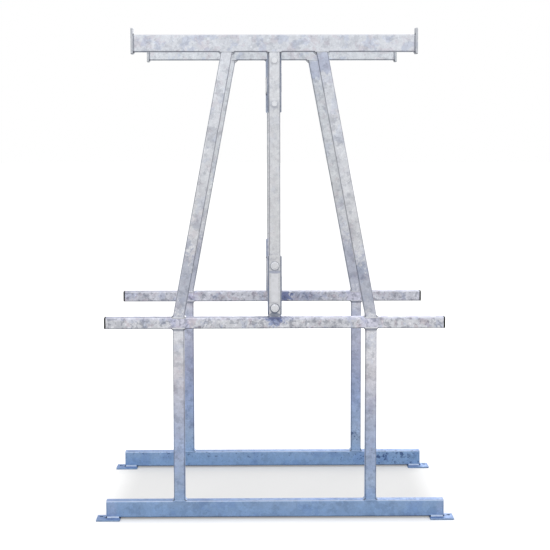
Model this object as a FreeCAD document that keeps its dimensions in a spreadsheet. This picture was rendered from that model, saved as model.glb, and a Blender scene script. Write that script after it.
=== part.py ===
"""Long-goods storage stand: two welded A-shaped end frames joined by two bolted longitudinal beams.

Frame of the model: the floor is Z = 0, the bars of the end frames lie along X, the longitudinal
beams lie along Y, and the origin is the middle of the footprint. The front end frame is at -Y.
Every sub-part is a PartDesign body whose sizes and place are bound to the sheet "Sizes".
"""

import FreeCAD
import Part

import math
import os

import Sketcher
from FreeCAD import Placement, Rotation, Vector

# ---------------------------------------------------------------------------------------------
# Driving dimensions, millimetres
# ---------------------------------------------------------------------------------------------

SIZES = {
    # overall layout
    "FrameSpacing": (800, "distance between the end frames' middle planes"),
    "FrameShift": (10, "middle of the two end frames, ahead of the footprint's middle"),
    "RailLength": (1200, "tube length of the base rail"),
    "BarLength": (1196, "tube length of the mid bar, between its end caps"),
    "BeamLength": (984, "tube length of the top beam, between its end stops"),
    "LowerPostHeight": (619, "from the base rail to the mid bar"),
    "UpperPostHeight": (932, "from the mid bar to the top beam"),
    "LowerPostOffset": (341, "lower post's axis from the middle"),
    "UpperPostOffset": (166, "upper post's axis from the middle, at the top beam"),
    # hollow sections
    "TubeSide": (40, "square tube, outside"),
    "TubeDeep": (60, "rectangular tube, long side"),
    "TubeWall": (3, "wall of every tube"),
    "TubeCorner": (5, "outside corner radius of every tube"),
    # plates of the end frames
    "EndPlateThickness": (3, "plate that closes the base rail"),
    "FootLength": (84, "foot plate along the rail"),
    "FootWidth": (70, "foot plate across the rail"),
    "FootThickness": (6, "foot plate"),
    "FootReach": (34, "foot plate beyond the rail's end plate"),
    "FootHole": (14, "floor bolt hole"),
    "FootHoleEdge": (15, "floor bolt hole's middle from the plate's outer edge"),
    "FootCorner": (2, "foot plate's corner radius"),
    "StopWidth": (50, "end stop along Y"),
    "StopHeight": (90, "end stop, vertical"),
    "StopThickness": (8, "end stop"),
    "StopDrop": (7, "end stop below the top beam's underside"),
    "StopCorner": (3, "end stop's corner radius"),
    "PlateEdge": (0.8, "rounding of a plate's exposed edges"),
    # plastic end cap
    "CapFlange": (6, "head of the end cap"),
    "CapPlug": (22, "plug of the end cap"),
    "CapPlugGap": (0.2, "between the plug and the tube, all round"),
    "CapEdge": (1.5, "rounding of the end cap's head"),
    # longitudinal beams
    "SpacerWidth": (50, "longitudinal beam across"),
    "FlangeWidth": (50, "flange plate across"),
    "FlangeHeight": (210, "flange plate, vertical"),
    "FlangeThickness": (8, "flange plate"),
    "UpperJoint": (1552, "height of the upper longitudinal beam's middle"),
    "LowerJoint": (834, "height of the lower longitudinal beam's middle"),
    "BoltPitch": (150, "between the two bolts of a joint"),
    # M12 fasteners
    "BoltShank": (12, "bolt shank"),
    "BoltHole": (13, "hole in tubes, plates and washers"),
    "BoltLength": (70, "bolt under its head"),
    "BoltExtra": (5, "more bolt length where the joint plate is clamped too"),
    "BoltChamfer": (1.2, "chamfer of the bolt's end"),
    "HexFlats": (19, "across flats of head and nut"),
    "HeadHeight": (7.5, "bolt head"),
    "NutHeight": (10, "nut"),
    "NutBore": (12.2, "nut's bore"),
    "HexBevel": (30, "angle of the bevel on hexagon corners, degrees"),
    "BevelMargin": (2, "reach of the bevelling cut beyond the hexagon's corners"),
    "WasherOutside": (28, "washer, outside"),
    "WasherThickness": (2.5, "washer"),
    # arched plate and strip on the front column
    "JointPlateWidth": (38, "arched plate across"),
    "JointPlateHeight": (221, "arched plate, vertical, with its arch"),
    "JointPlateBottom": (729, "height of the arched plate's lower edge"),
    "JointPlateRise": (5, "rise of the arch"),
    "JointPlateThickness": (5, "arched plate"),
    "StripWidth": (26, "blank strip across"),
    "StripHeight": (100, "blank strip, vertical"),
    "StripBottom": (781, "height of the blank strip's lower edge"),
    "StripThickness": (1.2, "blank strip"),
}

# Heights and places that follow from the driving dimensions, as expressions
RAIL_MIDDLE = "(Sizes.FootThickness + Sizes.TubeDeep / 2)"
RAIL_TOP = "(Sizes.FootThickness + Sizes.TubeDeep)"
BAR_BOTTOM = f"({RAIL_TOP} + Sizes.LowerPostHeight)"
BAR_MIDDLE = f"({BAR_BOTTOM} + Sizes.TubeSide / 2)"
BAR_TOP = f"({BAR_BOTTOM} + Sizes.TubeSide)"
BEAM_BOTTOM = f"({BAR_TOP} + Sizes.UpperPostHeight)"
BEAM_MIDDLE = f"({BEAM_BOTTOM} + Sizes.TubeDeep / 2)"
RAIL_END = "(Sizes.RailLength / 2 + Sizes.EndPlateThickness)"
FOOT_MIDDLE = f"({RAIL_END} + Sizes.FootReach - Sizes.FootLength / 2)"
FOOT_HOLE = "(Sizes.FootLength / 2 - Sizes.FootHoleEdge)"
POST_RUN = "(Sizes.LowerPostOffset - Sizes.UpperPostOffset)"
POST_TILT = f"atan({POST_RUN} / Sizes.UpperPostHeight)"
JOINT_PLATE_MIDDLE = "(Sizes.JointPlateBottom + Sizes.JointPlateHeight / 2)"
STRIP_MIDDLE = "(Sizes.StripBottom + Sizes.StripHeight / 2)"

TOUCH = 0.01  # millimetres: closer than this is the same place
SIDES = {"left": -1, "right": 1}  # sign of X
FRAMES = {"front": -1, "rear": 1}  # sign of Y

doc = FreeCAD.newDocument("StorageStand")
sheet = doc.addObject("Spreadsheet::Sheet", "Sizes")
nodes = []
cuts = []


def fill_sheet():
    """Write one row for each driving dimension: its name, its value and what it is."""
    for row, (alias, (value, note)) in enumerate(SIZES.items(), start=1):
        sheet.set(f"A{row}", alias)
        sheet.set(f"B{row}", str(value))
        sheet.set(f"C{row}", note)
        sheet.setAlias(f"B{row}", alias)
    doc.recompute()


def number(expression):
    """The present value of an expression, used as a sketch's starting shape."""
    value = sheet.evalExpression(expression)
    return float(getattr(value, "Value", value))


# ---------------------------------------------------------------------------------------------
# Bodies, sketches and features
# ---------------------------------------------------------------------------------------------


def new_body(label):
    """Start a sub-part. Its label names its node and its file."""
    body = doc.addObject("PartDesign::Body", label)
    body.Label = label
    body.AllowCompound = True
    nodes.append(body)
    return body


def place(body, x="0", y="0", z="0", half_turn=False):
    """Bind a body's place to the sheet. A half turn about Z faces it the other way."""
    body.Placement = Placement(Vector(), Rotation(Vector(0, 0, 1), 180 if half_turn else 0))
    for axis, expression in (("x", x), ("y", y), ("z", z)):
        body.setExpression(f"Placement.Base.{axis}", f"({expression}) * 1 mm")


def origin_feature(body, role):
    """One of the body's own origin planes or axes."""
    return next(item for item in body.Origin.OriginFeatures if item.Role == role)


def new_sketch(body, role, name):
    """A sketch on one of the body's origin planes."""
    sketch = body.newObject("Sketcher::SketchObject", f"{body.Name}_{name}")
    sketch.AttachmentSupport = [(origin_feature(body, role), "")]
    sketch.MapMode = "FlatFace"
    return sketch


def bind(sketch, constraint, name, expression):
    """Add a driving dimension to a sketch and bind it to the sheet."""
    index = sketch.addConstraint(constraint)
    sketch.renameConstraint(index, name)
    sketch.setExpression(f"Constraints.{name}", expression)


def rounded_rectangle(sketch, name, width, height, radius):
    """A rounded rectangle centred on the sketch's origin, with its three sizes bound."""
    half_w, half_h, r = number(width) / 2, number(height) / 2, number(radius)
    corners = ((1, -1, 270), (1, 1, 0), (-1, 1, 90), (-1, -1, 180))
    arcs = []
    for sign_x, sign_y, start in corners:
        middle = Vector(sign_x * (half_w - r), sign_y * (half_h - r), 0)
        circle = Part.Circle(middle, Vector(0, 0, 1), r)
        arc = Part.ArcOfCircle(circle, math.radians(start), math.radians(start + 90))
        arcs.append(sketch.addGeometry(arc))
    lines = []
    for this, following in zip(arcs, arcs[1:] + arcs[:1], strict=True):
        line = Part.LineSegment(sketch.getPoint(this, 2), sketch.getPoint(following, 1))
        lines.append(sketch.addGeometry(line))
    for side, (line, arc, following) in enumerate(zip(lines, arcs, arcs[1:] + arcs[:1], strict=True)):
        sketch.addConstraint(Sketcher.Constraint("Tangent", arc, 2, line, 1))
        sketch.addConstraint(Sketcher.Constraint("Tangent", line, 2, following, 1))
        sketch.addConstraint(Sketcher.Constraint("Horizontal" if side % 2 else "Vertical", line))
        if side:
            sketch.addConstraint(Sketcher.Constraint("Equal", arcs[0], arc))
    sketch.addConstraint(Sketcher.Constraint("Symmetric", arcs[0], 3, arcs[2], 3, -1, 1))
    right, top, left, bottom = lines
    across = Sketcher.Constraint("DistanceX", left, 1, right, 1, 2 * half_w)
    upright = Sketcher.Constraint("DistanceY", bottom, 1, top, 1, 2 * half_h)
    bind(sketch, across, f"{name}Width", width)
    bind(sketch, upright, f"{name}Height", height)
    bind(sketch, Sketcher.Constraint("Radius", arcs[0], r), f"{name}Radius", radius)


def circle_at(sketch, name, diameter, x="0", y="0"):
    """A circle with its diameter and its middle bound to the sheet."""
    start_x, start_y, start_d = number(x), number(y), number(diameter)
    index = sketch.addGeometry(Part.Circle(Vector(start_x, start_y, 0), Vector(0, 0, 1), start_d / 2))
    bind(sketch, Sketcher.Constraint("Diameter", index, start_d), f"{name}Diameter", diameter)
    for axis, kind, expression, start in (("X", "DistanceX", x, start_x), ("Y", "DistanceY", y, start_y)):
        if expression == "0":
            reference = -2 if axis == "X" else -1
            sketch.addConstraint(Sketcher.Constraint("PointOnObject", index, 3, reference))
        else:
            middle = Sketcher.Constraint(kind, -1, 1, index, 3, start)
            bind(sketch, middle, f"{name}{axis}", expression)


def hexagon(sketch, name, flats):
    """A regular hexagon about the sketch's origin with two flats upright, bound across its flats."""
    inside = number(flats) / 2
    outside = inside / math.cos(math.radians(30))
    guide = sketch.addGeometry(Part.Circle(Vector(), Vector(0, 0, 1), outside), True)
    sketch.addConstraint(Sketcher.Constraint("Coincident", guide, 3, -1, 1))
    angles = [math.radians(30 + 60 * corner) for corner in range(6)]
    points = [Vector(outside * math.cos(a), outside * math.sin(a), 0) for a in angles]
    lines = [
        sketch.addGeometry(Part.LineSegment(points[corner], points[(corner + 1) % 6]))
        for corner in range(6)
    ]
    for corner, line in enumerate(lines):
        sketch.addConstraint(Sketcher.Constraint("Coincident", line, 2, lines[(corner + 1) % 6], 1))
        sketch.addConstraint(Sketcher.Constraint("PointOnObject", line, 1, guide))
        if corner:
            sketch.addConstraint(Sketcher.Constraint("Equal", lines[0], line))
    upright = lines[5]
    sketch.addConstraint(Sketcher.Constraint("Vertical", upright))
    bind(sketch, Sketcher.Constraint("DistanceX", -1, 1, upright, 1, inside), f"{name}Half", f"{flats} / 2")


def pad(body, sketch, length, symmetric=False, reverse=False):
    """Pad a sketch by an expression."""
    feature = body.newObject("PartDesign::Pad", f"{sketch.Name}_Pad")
    feature.Profile = sketch
    feature.SideType = "Symmetric" if symmetric else "One side"
    feature.Reversed = reverse
    feature.setExpression("Length", length)
    sketch.Visibility = False
    return feature


def pocket_through(body, sketch):
    """Cut a sketch through the whole body, both ways from its plane."""
    feature = body.newObject("PartDesign::Pocket", f"{sketch.Name}_Pocket")
    feature.Profile = sketch
    feature.Type = "ThroughAll"
    feature.SideType = "Symmetric"
    cuts.append(feature)
    return feature


def round_edges(body, base, radius, wanted):
    """Fillet the edges of a feature for which wanted(edge) holds."""
    doc.recompute()
    names = [f"Edge{i}" for i, edge in enumerate(base.Shape.Edges, start=1) if wanted(edge)]
    feature = body.newObject("PartDesign::Fillet", f"{base.Name}_Fillet")
    feature.Base = (base, names)
    feature.setExpression("Radius", radius)
    return feature


def pair_along_z(body, features, pitch):
    """Repeat features once more, one pitch higher, as a second solid."""
    pattern = body.newObject("PartDesign::LinearPattern", f"{body.Name}_Pair")
    pattern.Originals = features
    pattern.Direction = (origin_feature(body, "Z_Axis"), [""])
    pattern.Occurrences = 2
    pattern.setExpression("Length", pitch)
    body.Tip = pattern
    return pattern


# ---------------------------------------------------------------------------------------------
# Kinds of sub-part
# ---------------------------------------------------------------------------------------------


def tube(label, role, width, height, length):
    """A hollow section along the normal of the given plane, centred on the body's origin."""
    body = new_body(label)
    section = new_sketch(body, role, "Section")
    wall = "2 * Sizes.TubeWall"
    rounded_rectangle(section, "Outer", width, height, "Sizes.TubeCorner")
    inner_radius = "Sizes.TubeCorner - Sizes.TubeWall"
    rounded_rectangle(section, "Inner", f"{width} - {wall}", f"{height} - {wall}", inner_radius)
    pad(body, section, length, symmetric=True)
    return body


def sloping_post(label, side):
    """An upper post: a square tube that leans inwards, with level ends."""
    body = new_body(label)
    section = new_sketch(body, "XY_Plane", "Section")
    inner = "Sizes.TubeSide - 2 * Sizes.TubeWall"
    inner_radius = "Sizes.TubeCorner - Sizes.TubeWall"
    outer_width = f"Sizes.TubeSide / cos({POST_TILT})"
    rounded_rectangle(section, "Outer", outer_width, "Sizes.TubeSide", "Sizes.TubeCorner")
    rounded_rectangle(section, "Inner", f"({inner}) / cos({POST_TILT})", inner, inner_radius)
    lean = pad(body, section, "Sizes.UpperPostHeight")
    lean.UseCustomVector = True
    lean.AlongSketchNormal = True
    lean.Direction = Vector(0, 0, 1)
    lean.setExpression("Direction.x", f"{-side} * {POST_RUN} / Sizes.UpperPostHeight")
    return body


def plate(label, role, width, height, thickness, corner, holes=(), rounded=None):
    """A flat plate centred on the body's origin.

    Each hole is (name, diameter, x, y). Edges for which rounded(edge) holds are eased.
    """
    body = new_body(label)
    outline = new_sketch(body, role, "Outline")
    rounded_rectangle(outline, "Plate", width, height, corner)
    last = pad(body, outline, thickness, symmetric=True)
    if holes:
        drilled = new_sketch(body, role, "Holes")
        for name, diameter, x, y in holes:
            circle_at(drilled, name, diameter, x, y)
        last = pocket_through(body, drilled)
    if rounded:
        round_edges(body, last, "Sizes.PlateEdge", rounded)
    return body


def bolt_heights(joint):
    """Heights of the two bolts of a joint, as expressions."""
    return [f"Sizes.{joint} {sign} Sizes.BoltPitch / 2" for sign in ("-", "+")]


def centre_column(label):
    """The middle upright, drilled through front to back for both joints' bolts."""
    body = tube(label, "XY_Plane", "Sizes.TubeSide", "Sizes.TubeSide", "Sizes.UpperPostHeight")
    drilled = new_sketch(body, "XZ_Plane", "Holes")
    middle = f"({BAR_TOP} + Sizes.UpperPostHeight / 2)"
    heights = bolt_heights("LowerJoint") + bolt_heights("UpperJoint")
    for index, height in enumerate(heights, start=1):
        circle_at(drilled, f"Bolt{index}", "Sizes.BoltHole", "0", f"{height} - {middle}")
    pocket_through(body, drilled)
    return body


def end_cap(label):
    """A plastic end cap: its head is on +X, its plug points to -X, and its seat is the YZ plane."""
    body = new_body(label)
    head = new_sketch(body, "YZ_Plane", "Head")
    rounded_rectangle(head, "Head", "Sizes.TubeSide", "Sizes.TubeSide", "Sizes.TubeCorner")
    head_pad = pad(body, head, "Sizes.CapFlange")
    outer_face = number("Sizes.CapFlange")
    rounded = round_edges(
        body,
        head_pad,
        "Sizes.CapEdge",
        lambda edge: edge.BoundBox.XMin > outer_face - TOUCH,
    )
    body.Tip = rounded
    plug = new_sketch(body, "YZ_Plane", "Plug")
    side = "Sizes.TubeSide - 2 * (Sizes.TubeWall + Sizes.CapPlugGap)"
    rounded_rectangle(plug, "Plug", side, side, "Sizes.TubeCorner - Sizes.TubeWall")
    pad(body, plug, "Sizes.CapPlug", reverse=True)
    return body


def polygon(sketch, points):
    """A closed outline of straight lines through the given points, joined at its corners."""
    following = points[1:] + points[:1]
    lines = [
        sketch.addGeometry(Part.LineSegment(first, second))
        for first, second in zip(points, following, strict=True)
    ]
    for line, after in zip(lines, lines[1:] + lines[:1], strict=True):
        sketch.addConstraint(Sketcher.Constraint("Coincident", line, 2, after, 1))
    return lines


def point_at(sketch, name, line, x, y):
    """Bind the start of a line to expressions. A zero holds it on the sketch's own axis."""
    for axis, expression, own_axis in (("X", x, -2), ("Y", y, -1)):
        value = number(expression)
        if value == 0:
            sketch.addConstraint(Sketcher.Constraint("PointOnObject", line, 1, own_axis))
        else:
            held = Sketcher.Constraint(f"Distance{axis}", -1, 1, line, 1, value)
            bind(sketch, held, f"{name}{axis}", expression)


def bound_outline(sketch, corners):
    """A closed outline whose corners are all (x, y) expressions."""
    lines = polygon(sketch, [Vector(number(x), number(y), 0) for x, y in corners])
    for index, (line, (x, y)) in enumerate(zip(lines, corners, strict=True), start=1):
        point_at(sketch, f"Corner{index}", line, x, y)


def bevel_hexagon(body, name, face, inwards):
    """Cut the corners of a hexagon to a cone at its face. Inwards is the sign of Y into the metal."""
    flat = "Sizes.HexFlats / 2"
    reach = f"({flat} / cos(30) + Sizes.BevelMargin)"
    drop = f"({reach} - {flat}) * tan(Sizes.HexBevel)"
    profile = new_sketch(body, "YZ_Plane", name)
    bound_outline(profile, [(face, flat), (face, reach), (f"{face} + {inwards} * {drop}", reach)])
    groove = body.newObject("PartDesign::Groove", f"{profile.Name}_Groove")
    groove.Profile = profile
    groove.ReferenceAxis = (origin_feature(body, "Y_Axis"), [""])
    groove.Angle = 360
    cuts.append(groove)
    return groove


def bolts(label, length):
    """Two hexagon bolts, one above the other. Heads are on -Y and bear on the XZ plane."""
    body = new_body(label)
    head = new_sketch(body, "XZ_Plane", "Head")
    hexagon(head, "Head", "Sizes.HexFlats")
    head_pad = pad(body, head, "Sizes.HeadHeight")
    bevel = bevel_hexagon(body, "Bevel", "-Sizes.HeadHeight", inwards=1)
    profile = new_sketch(body, "YZ_Plane", "Shank")
    radius = "Sizes.BoltShank / 2"
    corners = [
        ("0", "0"),
        (length, "0"),
        (length, f"{radius} - Sizes.BoltChamfer"),
        (f"{length} - Sizes.BoltChamfer", radius),
        ("0", radius),
    ]
    bound_outline(profile, corners)
    shank = body.newObject("PartDesign::Revolution", f"{body.Name}_Shank_Revolution")
    shank.Profile = profile
    shank.ReferenceAxis = (origin_feature(body, "Y_Axis"), [""])
    shank.Angle = 360
    pair_along_z(body, [head_pad, bevel, shank], "Sizes.BoltPitch")
    return body


def nuts(label):
    """Two hexagon nuts, one above the other, bearing on the XZ plane and standing on +Y."""
    body = new_body(label)
    outline = new_sketch(body, "XZ_Plane", "Outline")
    hexagon(outline, "Nut", "Sizes.HexFlats")
    circle_at(outline, "Bore", "Sizes.NutBore")
    outline_pad = pad(body, outline, "Sizes.NutHeight", reverse=True)
    bevel = bevel_hexagon(body, "Bevel", "Sizes.NutHeight", inwards=-1)
    pair_along_z(body, [outline_pad, bevel], "Sizes.BoltPitch")
    return body


def washers(label):
    """Two washers, one above the other, standing on +Y from the XZ plane."""
    body = new_body(label)
    ring = new_sketch(body, "XZ_Plane", "Ring")
    circle_at(ring, "Outside", "Sizes.WasherOutside")
    circle_at(ring, "Bore", "Sizes.BoltHole")
    ring_pad = pad(body, ring, "Sizes.WasherThickness", reverse=True)
    pair_along_z(body, [ring_pad], "Sizes.BoltPitch")
    return body


def joint_plate(label):
    """The plate with an arched upper edge, clamped under the lower front joint's bolt heads."""
    body = new_body(label)
    outline = new_sketch(body, "XZ_Plane", "Outline")
    half_w = number("Sizes.JointPlateWidth") / 2
    half_h = number("Sizes.JointPlateHeight") / 2
    rise = number("Sizes.JointPlateRise")
    shoulder = half_h - rise
    corners = (
        Vector(-half_w, shoulder, 0),
        Vector(-half_w, -half_h, 0),
        Vector(half_w, -half_h, 0),
        Vector(half_w, shoulder, 0),
    )
    sides = [
        outline.addGeometry(Part.LineSegment(first, second))
        for first, second in zip(corners, corners[1:], strict=False)
    ]
    left, bottom, right = sides
    arch = outline.addGeometry(Part.Arc(corners[3], Vector(0, half_h, 0), corners[0]))
    for first, second in ((left, bottom), (bottom, right)):
        outline.addConstraint(Sketcher.Constraint("Coincident", first, 2, second, 1))
    outline.addConstraint(Sketcher.Constraint("Coincident", right, 2, arch, 1))
    outline.addConstraint(Sketcher.Constraint("Coincident", arch, 2, left, 1))
    outline.addConstraint(Sketcher.Constraint("Vertical", left))
    outline.addConstraint(Sketcher.Constraint("Vertical", right))
    outline.addConstraint(Sketcher.Constraint("Symmetric", bottom, 1, bottom, 2, -2))
    outline.addConstraint(Sketcher.Constraint("PointOnObject", arch, 3, -2))
    across = Sketcher.Constraint("DistanceX", bottom, 1, bottom, 2, 2 * half_w)
    bind(outline, across, "PlateWidth", "Sizes.JointPlateWidth")
    below = Sketcher.Constraint("DistanceY", bottom, 1, -1, 1, half_h)
    bind(outline, below, "PlateBelow", "Sizes.JointPlateHeight / 2")
    above = Sketcher.Constraint("DistanceY", -1, 1, right, 2, shoulder)
    bind(outline, above, "PlateAbove", "Sizes.JointPlateHeight / 2 - Sizes.JointPlateRise")
    arch_radius = (half_w**2 + rise**2) / (2 * rise)
    squares = "(Sizes.JointPlateWidth / 2) ^ 2 + Sizes.JointPlateRise ^ 2"
    radius = Sketcher.Constraint("Radius", arch, arch_radius)
    bind(outline, radius, "ArchRadius", f"({squares}) / (2 * Sizes.JointPlateRise)")
    pad(body, outline, "Sizes.JointPlateThickness", symmetric=True)
    drilled = new_sketch(body, "XZ_Plane", "Holes")
    for index, height in enumerate(bolt_heights("LowerJoint"), start=1):
        circle_at(drilled, f"Bolt{index}", "Sizes.BoltHole", "0", f"{height} - {JOINT_PLATE_MIDDLE}")
    pocket_through(body, drilled)
    return body


# ---------------------------------------------------------------------------------------------
# Assembly
# ---------------------------------------------------------------------------------------------


def frame_y(frame):
    """Y of an end frame's middle plane, as an expression."""
    return f"(Sizes.FrameShift + {FRAMES[frame]} * Sizes.FrameSpacing / 2)"


def build_end_frame(frame):
    """The welded pieces of one end frame, with the mid bar's plastic caps among them."""
    middle_y = frame_y(frame)
    square = ("Sizes.TubeSide", "Sizes.TubeSide")

    rail = tube(f"{frame}_base_rail", "YZ_Plane", "Sizes.TubeSide", "Sizes.TubeDeep", "Sizes.RailLength")
    place(rail, y=middle_y, z=RAIL_MIDDLE)
    bar = tube(f"{frame}_mid_bar", "YZ_Plane", *square, "Sizes.BarLength")
    place(bar, y=middle_y, z=BAR_MIDDLE)
    column = centre_column(f"{frame}_centre_column")
    place(column, y=middle_y, z=f"{BAR_TOP} + Sizes.UpperPostHeight / 2")
    beam = tube(f"{frame}_top_beam", "YZ_Plane", "Sizes.TubeSide", "Sizes.TubeDeep", "Sizes.BeamLength")
    place(beam, y=middle_y, z=BEAM_MIDDLE)

    for side_name, side in SIDES.items():
        end_plate = plate(
            f"{frame}_rail_end_plate_{side_name}",
            "YZ_Plane",
            "Sizes.TubeSide",
            "Sizes.TubeDeep",
            "Sizes.EndPlateThickness",
            "Sizes.TubeCorner",
        )
        place(end_plate, f"{side} * ({RAIL_END} - Sizes.EndPlateThickness / 2)", middle_y, RAIL_MIDDLE)

        # the plate is flush with the rail's back, and its hole lies on the rail's middle line
        foot_set_forward = "(Sizes.FootWidth - Sizes.TubeSide) / 2"
        foot = plate(
            f"{frame}_foot_plate_{side_name}",
            "XY_Plane",
            "Sizes.FootLength",
            "Sizes.FootWidth",
            "Sizes.FootThickness",
            "Sizes.FootCorner",
            holes=[("Floor", "Sizes.FootHole", f"{side} * {FOOT_HOLE}", foot_set_forward)],
            rounded=lambda edge: edge.BoundBox.ZMin > 0 and edge.BoundBox.ZLength < TOUCH,
        )
        foot_y = f"{middle_y} - {foot_set_forward}"
        place(foot, f"{side} * {FOOT_MIDDLE}", foot_y, "Sizes.FootThickness / 2")

        lower = tube(f"{frame}_lower_post_{side_name}", "XY_Plane", *square, "Sizes.LowerPostHeight")
        lower_z = f"{RAIL_TOP} + Sizes.LowerPostHeight / 2"
        place(lower, f"{side} * Sizes.LowerPostOffset", middle_y, lower_z)

        cap = end_cap(f"{frame}_end_cap_{side_name}")
        place(cap, f"{side} * Sizes.BarLength / 2", middle_y, BAR_MIDDLE, half_turn=side < 0)

        upper = sloping_post(f"{frame}_upper_post_{side_name}", side)
        place(upper, f"{side} * Sizes.LowerPostOffset", middle_y, BAR_TOP)

        stop = plate(
            f"{frame}_end_stop_{side_name}",
            "YZ_Plane",
            "Sizes.StopWidth",
            "Sizes.StopHeight",
            "Sizes.StopThickness",
            "Sizes.StopCorner",
            rounded=lambda edge: edge.BoundBox.XLength < TOUCH,
        )
        stop_x = f"{side} * (Sizes.BeamLength + Sizes.StopThickness) / 2"
        place(stop, stop_x, middle_y, f"{BEAM_BOTTOM} - Sizes.StopDrop + Sizes.StopHeight / 2")


def build_joint(level, joint, frame):
    """The two bolts, four washers and two nuts that clamp one flange plate to one column."""
    outwards = FRAMES[frame]
    plated = joint == "LowerJoint" and frame == "front"
    extra = " + Sizes.BoltExtra" if plated else ""
    clamped_plate = " + Sizes.JointPlateThickness" if plated else ""
    lower_bolt = f"Sizes.{joint} - Sizes.BoltPitch / 2"
    column_y = frame_y(frame)
    outer = f"Sizes.TubeSide / 2{clamped_plate}"
    inner = "(Sizes.TubeSide / 2 + Sizes.FlangeThickness)"
    turned = outwards > 0
    name = f"{level}_{frame}"

    under_head = f"{column_y} + {outwards} * ({outer} + Sizes.WasherThickness)"
    under_nut = f"{column_y} - {outwards} * ({inner} + Sizes.WasherThickness)"
    place(bolts(f"{name}_bolts", f"Sizes.BoltLength{extra}"), "0", under_head, lower_bolt, turned)
    place(washers(f"{name}_head_washers"), "0", under_head, lower_bolt, turned)
    place(washers(f"{name}_nut_washers"), "0", f"{column_y} - {outwards} * {inner}", lower_bolt, turned)
    place(nuts(f"{name}_nuts"), "0", under_nut, lower_bolt, turned)


def build_longitudinal_beam(level, joint):
    """A tube with a flange plate at each end, bolted between the two centre columns."""
    clear = "(Sizes.FrameSpacing - Sizes.TubeSide)"
    length = f"{clear} - 2 * Sizes.FlangeThickness"
    beam = tube(f"{level}_spacer_tube", "XZ_Plane", "Sizes.SpacerWidth", "Sizes.TubeDeep", length)
    place(beam, y="Sizes.FrameShift", z=f"Sizes.{joint}")
    for frame, side in FRAMES.items():
        holes = [
            (f"Bolt{index}", "Sizes.BoltHole", "0", f"{sign} * Sizes.BoltPitch / 2")
            for index, sign in enumerate((-1, 1), start=1)
        ]
        flange = plate(
            f"{level}_spacer_{frame}_flange",
            "XZ_Plane",
            "Sizes.FlangeWidth",
            "Sizes.FlangeHeight",
            "Sizes.FlangeThickness",
            "Sizes.StopCorner",
            holes,
        )
        flange_y = f"Sizes.FrameShift + {side} * ({clear} / 2 - Sizes.FlangeThickness / 2)"
        place(flange, y=flange_y, z=f"Sizes.{joint}")
        build_joint(level, joint, frame)


def build_front_column_plates():
    """The arched plate on the front column's outer face and the blank strip on it."""
    column_front = f"({frame_y('front')} - Sizes.TubeSide / 2)"
    arched = joint_plate("lower_joint_plate")
    place(arched, y=f"{column_front} - Sizes.JointPlateThickness / 2", z=JOINT_PLATE_MIDDLE)
    strip = plate(
        "blank_label_strip",
        "XZ_Plane",
        "Sizes.StripWidth",
        "Sizes.StripHeight",
        "Sizes.StripThickness",
        "Sizes.FootCorner",
    )
    strip_y = f"{column_front} - Sizes.JointPlateThickness - Sizes.StripThickness / 2"
    place(strip, y=strip_y, z=STRIP_MIDDLE)


def check_model():
    """Stop if any object failed, any sub-part is empty or not valid, or any cut removed nothing."""
    for item in doc.Objects:
        if "Invalid" in item.State or "Error" in item.State:
            raise RuntimeError(f"{item.Label} did not compute: {item.State}")
    for cut in cuts:
        if cut.Shape.Volume >= cut.BaseFeature.Shape.Volume - TOUCH:
            raise RuntimeError(f"{cut.Label} removed nothing")
    for body in nodes:
        if body.Shape.isNull() or not body.Shape.isValid() or body.Shape.Volume < 1:
            raise RuntimeError(f"{body.Label} has no valid solid")


def export_parts():
    """Write each sub-part to its own file."""
    os.makedirs("parts", exist_ok=True)
    for body in nodes:
        body.Shape.exportStep(f"parts/{body.Label}.step")
        print(f"{body.Label}: {len(body.Shape.Solids)} solid(s), {body.Shape.Volume / 1000:.1f} cm3")


fill_sheet()
for frame_name in FRAMES:
    build_end_frame(frame_name)
build_longitudinal_beam("upper", "UpperJoint")
build_longitudinal_beam("lower", "LowerJoint")
build_front_column_plates()
doc.recompute()
check_model()
export_parts()
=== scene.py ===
"""Visual model of a bolted, hot-dip galvanised steel stand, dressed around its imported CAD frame.

Two welded end frames face each other along Y. Each has a base rail on two foot plates, two upright
lower posts, a long mid bar with black end caps, two posts that lean inwards, a centre column and a
top beam between end stops. Two spacer tubes with bolted flanges hold the frames apart.
All lengths are metres in the CAD model's own frame: X along the rails, Z up.
"""

import logging
import math
from collections.abc import Callable
from dataclasses import dataclass, field, replace
from enum import Enum

import bmesh
import bpy
from mathutils import Matrix, Vector


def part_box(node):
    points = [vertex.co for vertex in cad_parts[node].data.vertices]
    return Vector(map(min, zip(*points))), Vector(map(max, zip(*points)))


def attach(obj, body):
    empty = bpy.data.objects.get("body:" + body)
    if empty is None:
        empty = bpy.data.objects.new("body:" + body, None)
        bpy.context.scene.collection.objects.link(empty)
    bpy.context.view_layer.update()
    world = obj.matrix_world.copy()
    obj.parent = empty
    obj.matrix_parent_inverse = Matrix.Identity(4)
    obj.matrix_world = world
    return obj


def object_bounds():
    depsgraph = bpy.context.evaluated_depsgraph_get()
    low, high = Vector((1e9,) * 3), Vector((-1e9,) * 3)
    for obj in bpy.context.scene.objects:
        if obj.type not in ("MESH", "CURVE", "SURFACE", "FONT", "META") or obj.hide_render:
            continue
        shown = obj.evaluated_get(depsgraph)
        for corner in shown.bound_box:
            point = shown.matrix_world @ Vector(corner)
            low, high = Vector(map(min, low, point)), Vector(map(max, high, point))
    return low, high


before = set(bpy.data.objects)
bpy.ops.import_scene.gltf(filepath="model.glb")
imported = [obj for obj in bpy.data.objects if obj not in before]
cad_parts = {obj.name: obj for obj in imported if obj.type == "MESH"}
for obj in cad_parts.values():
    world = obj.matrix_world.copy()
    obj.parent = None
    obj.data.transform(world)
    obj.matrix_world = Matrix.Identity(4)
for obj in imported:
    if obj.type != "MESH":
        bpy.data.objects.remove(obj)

CAD_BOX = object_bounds()
LOG = logging.getLogger("stand")
MM = 0.001
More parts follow.
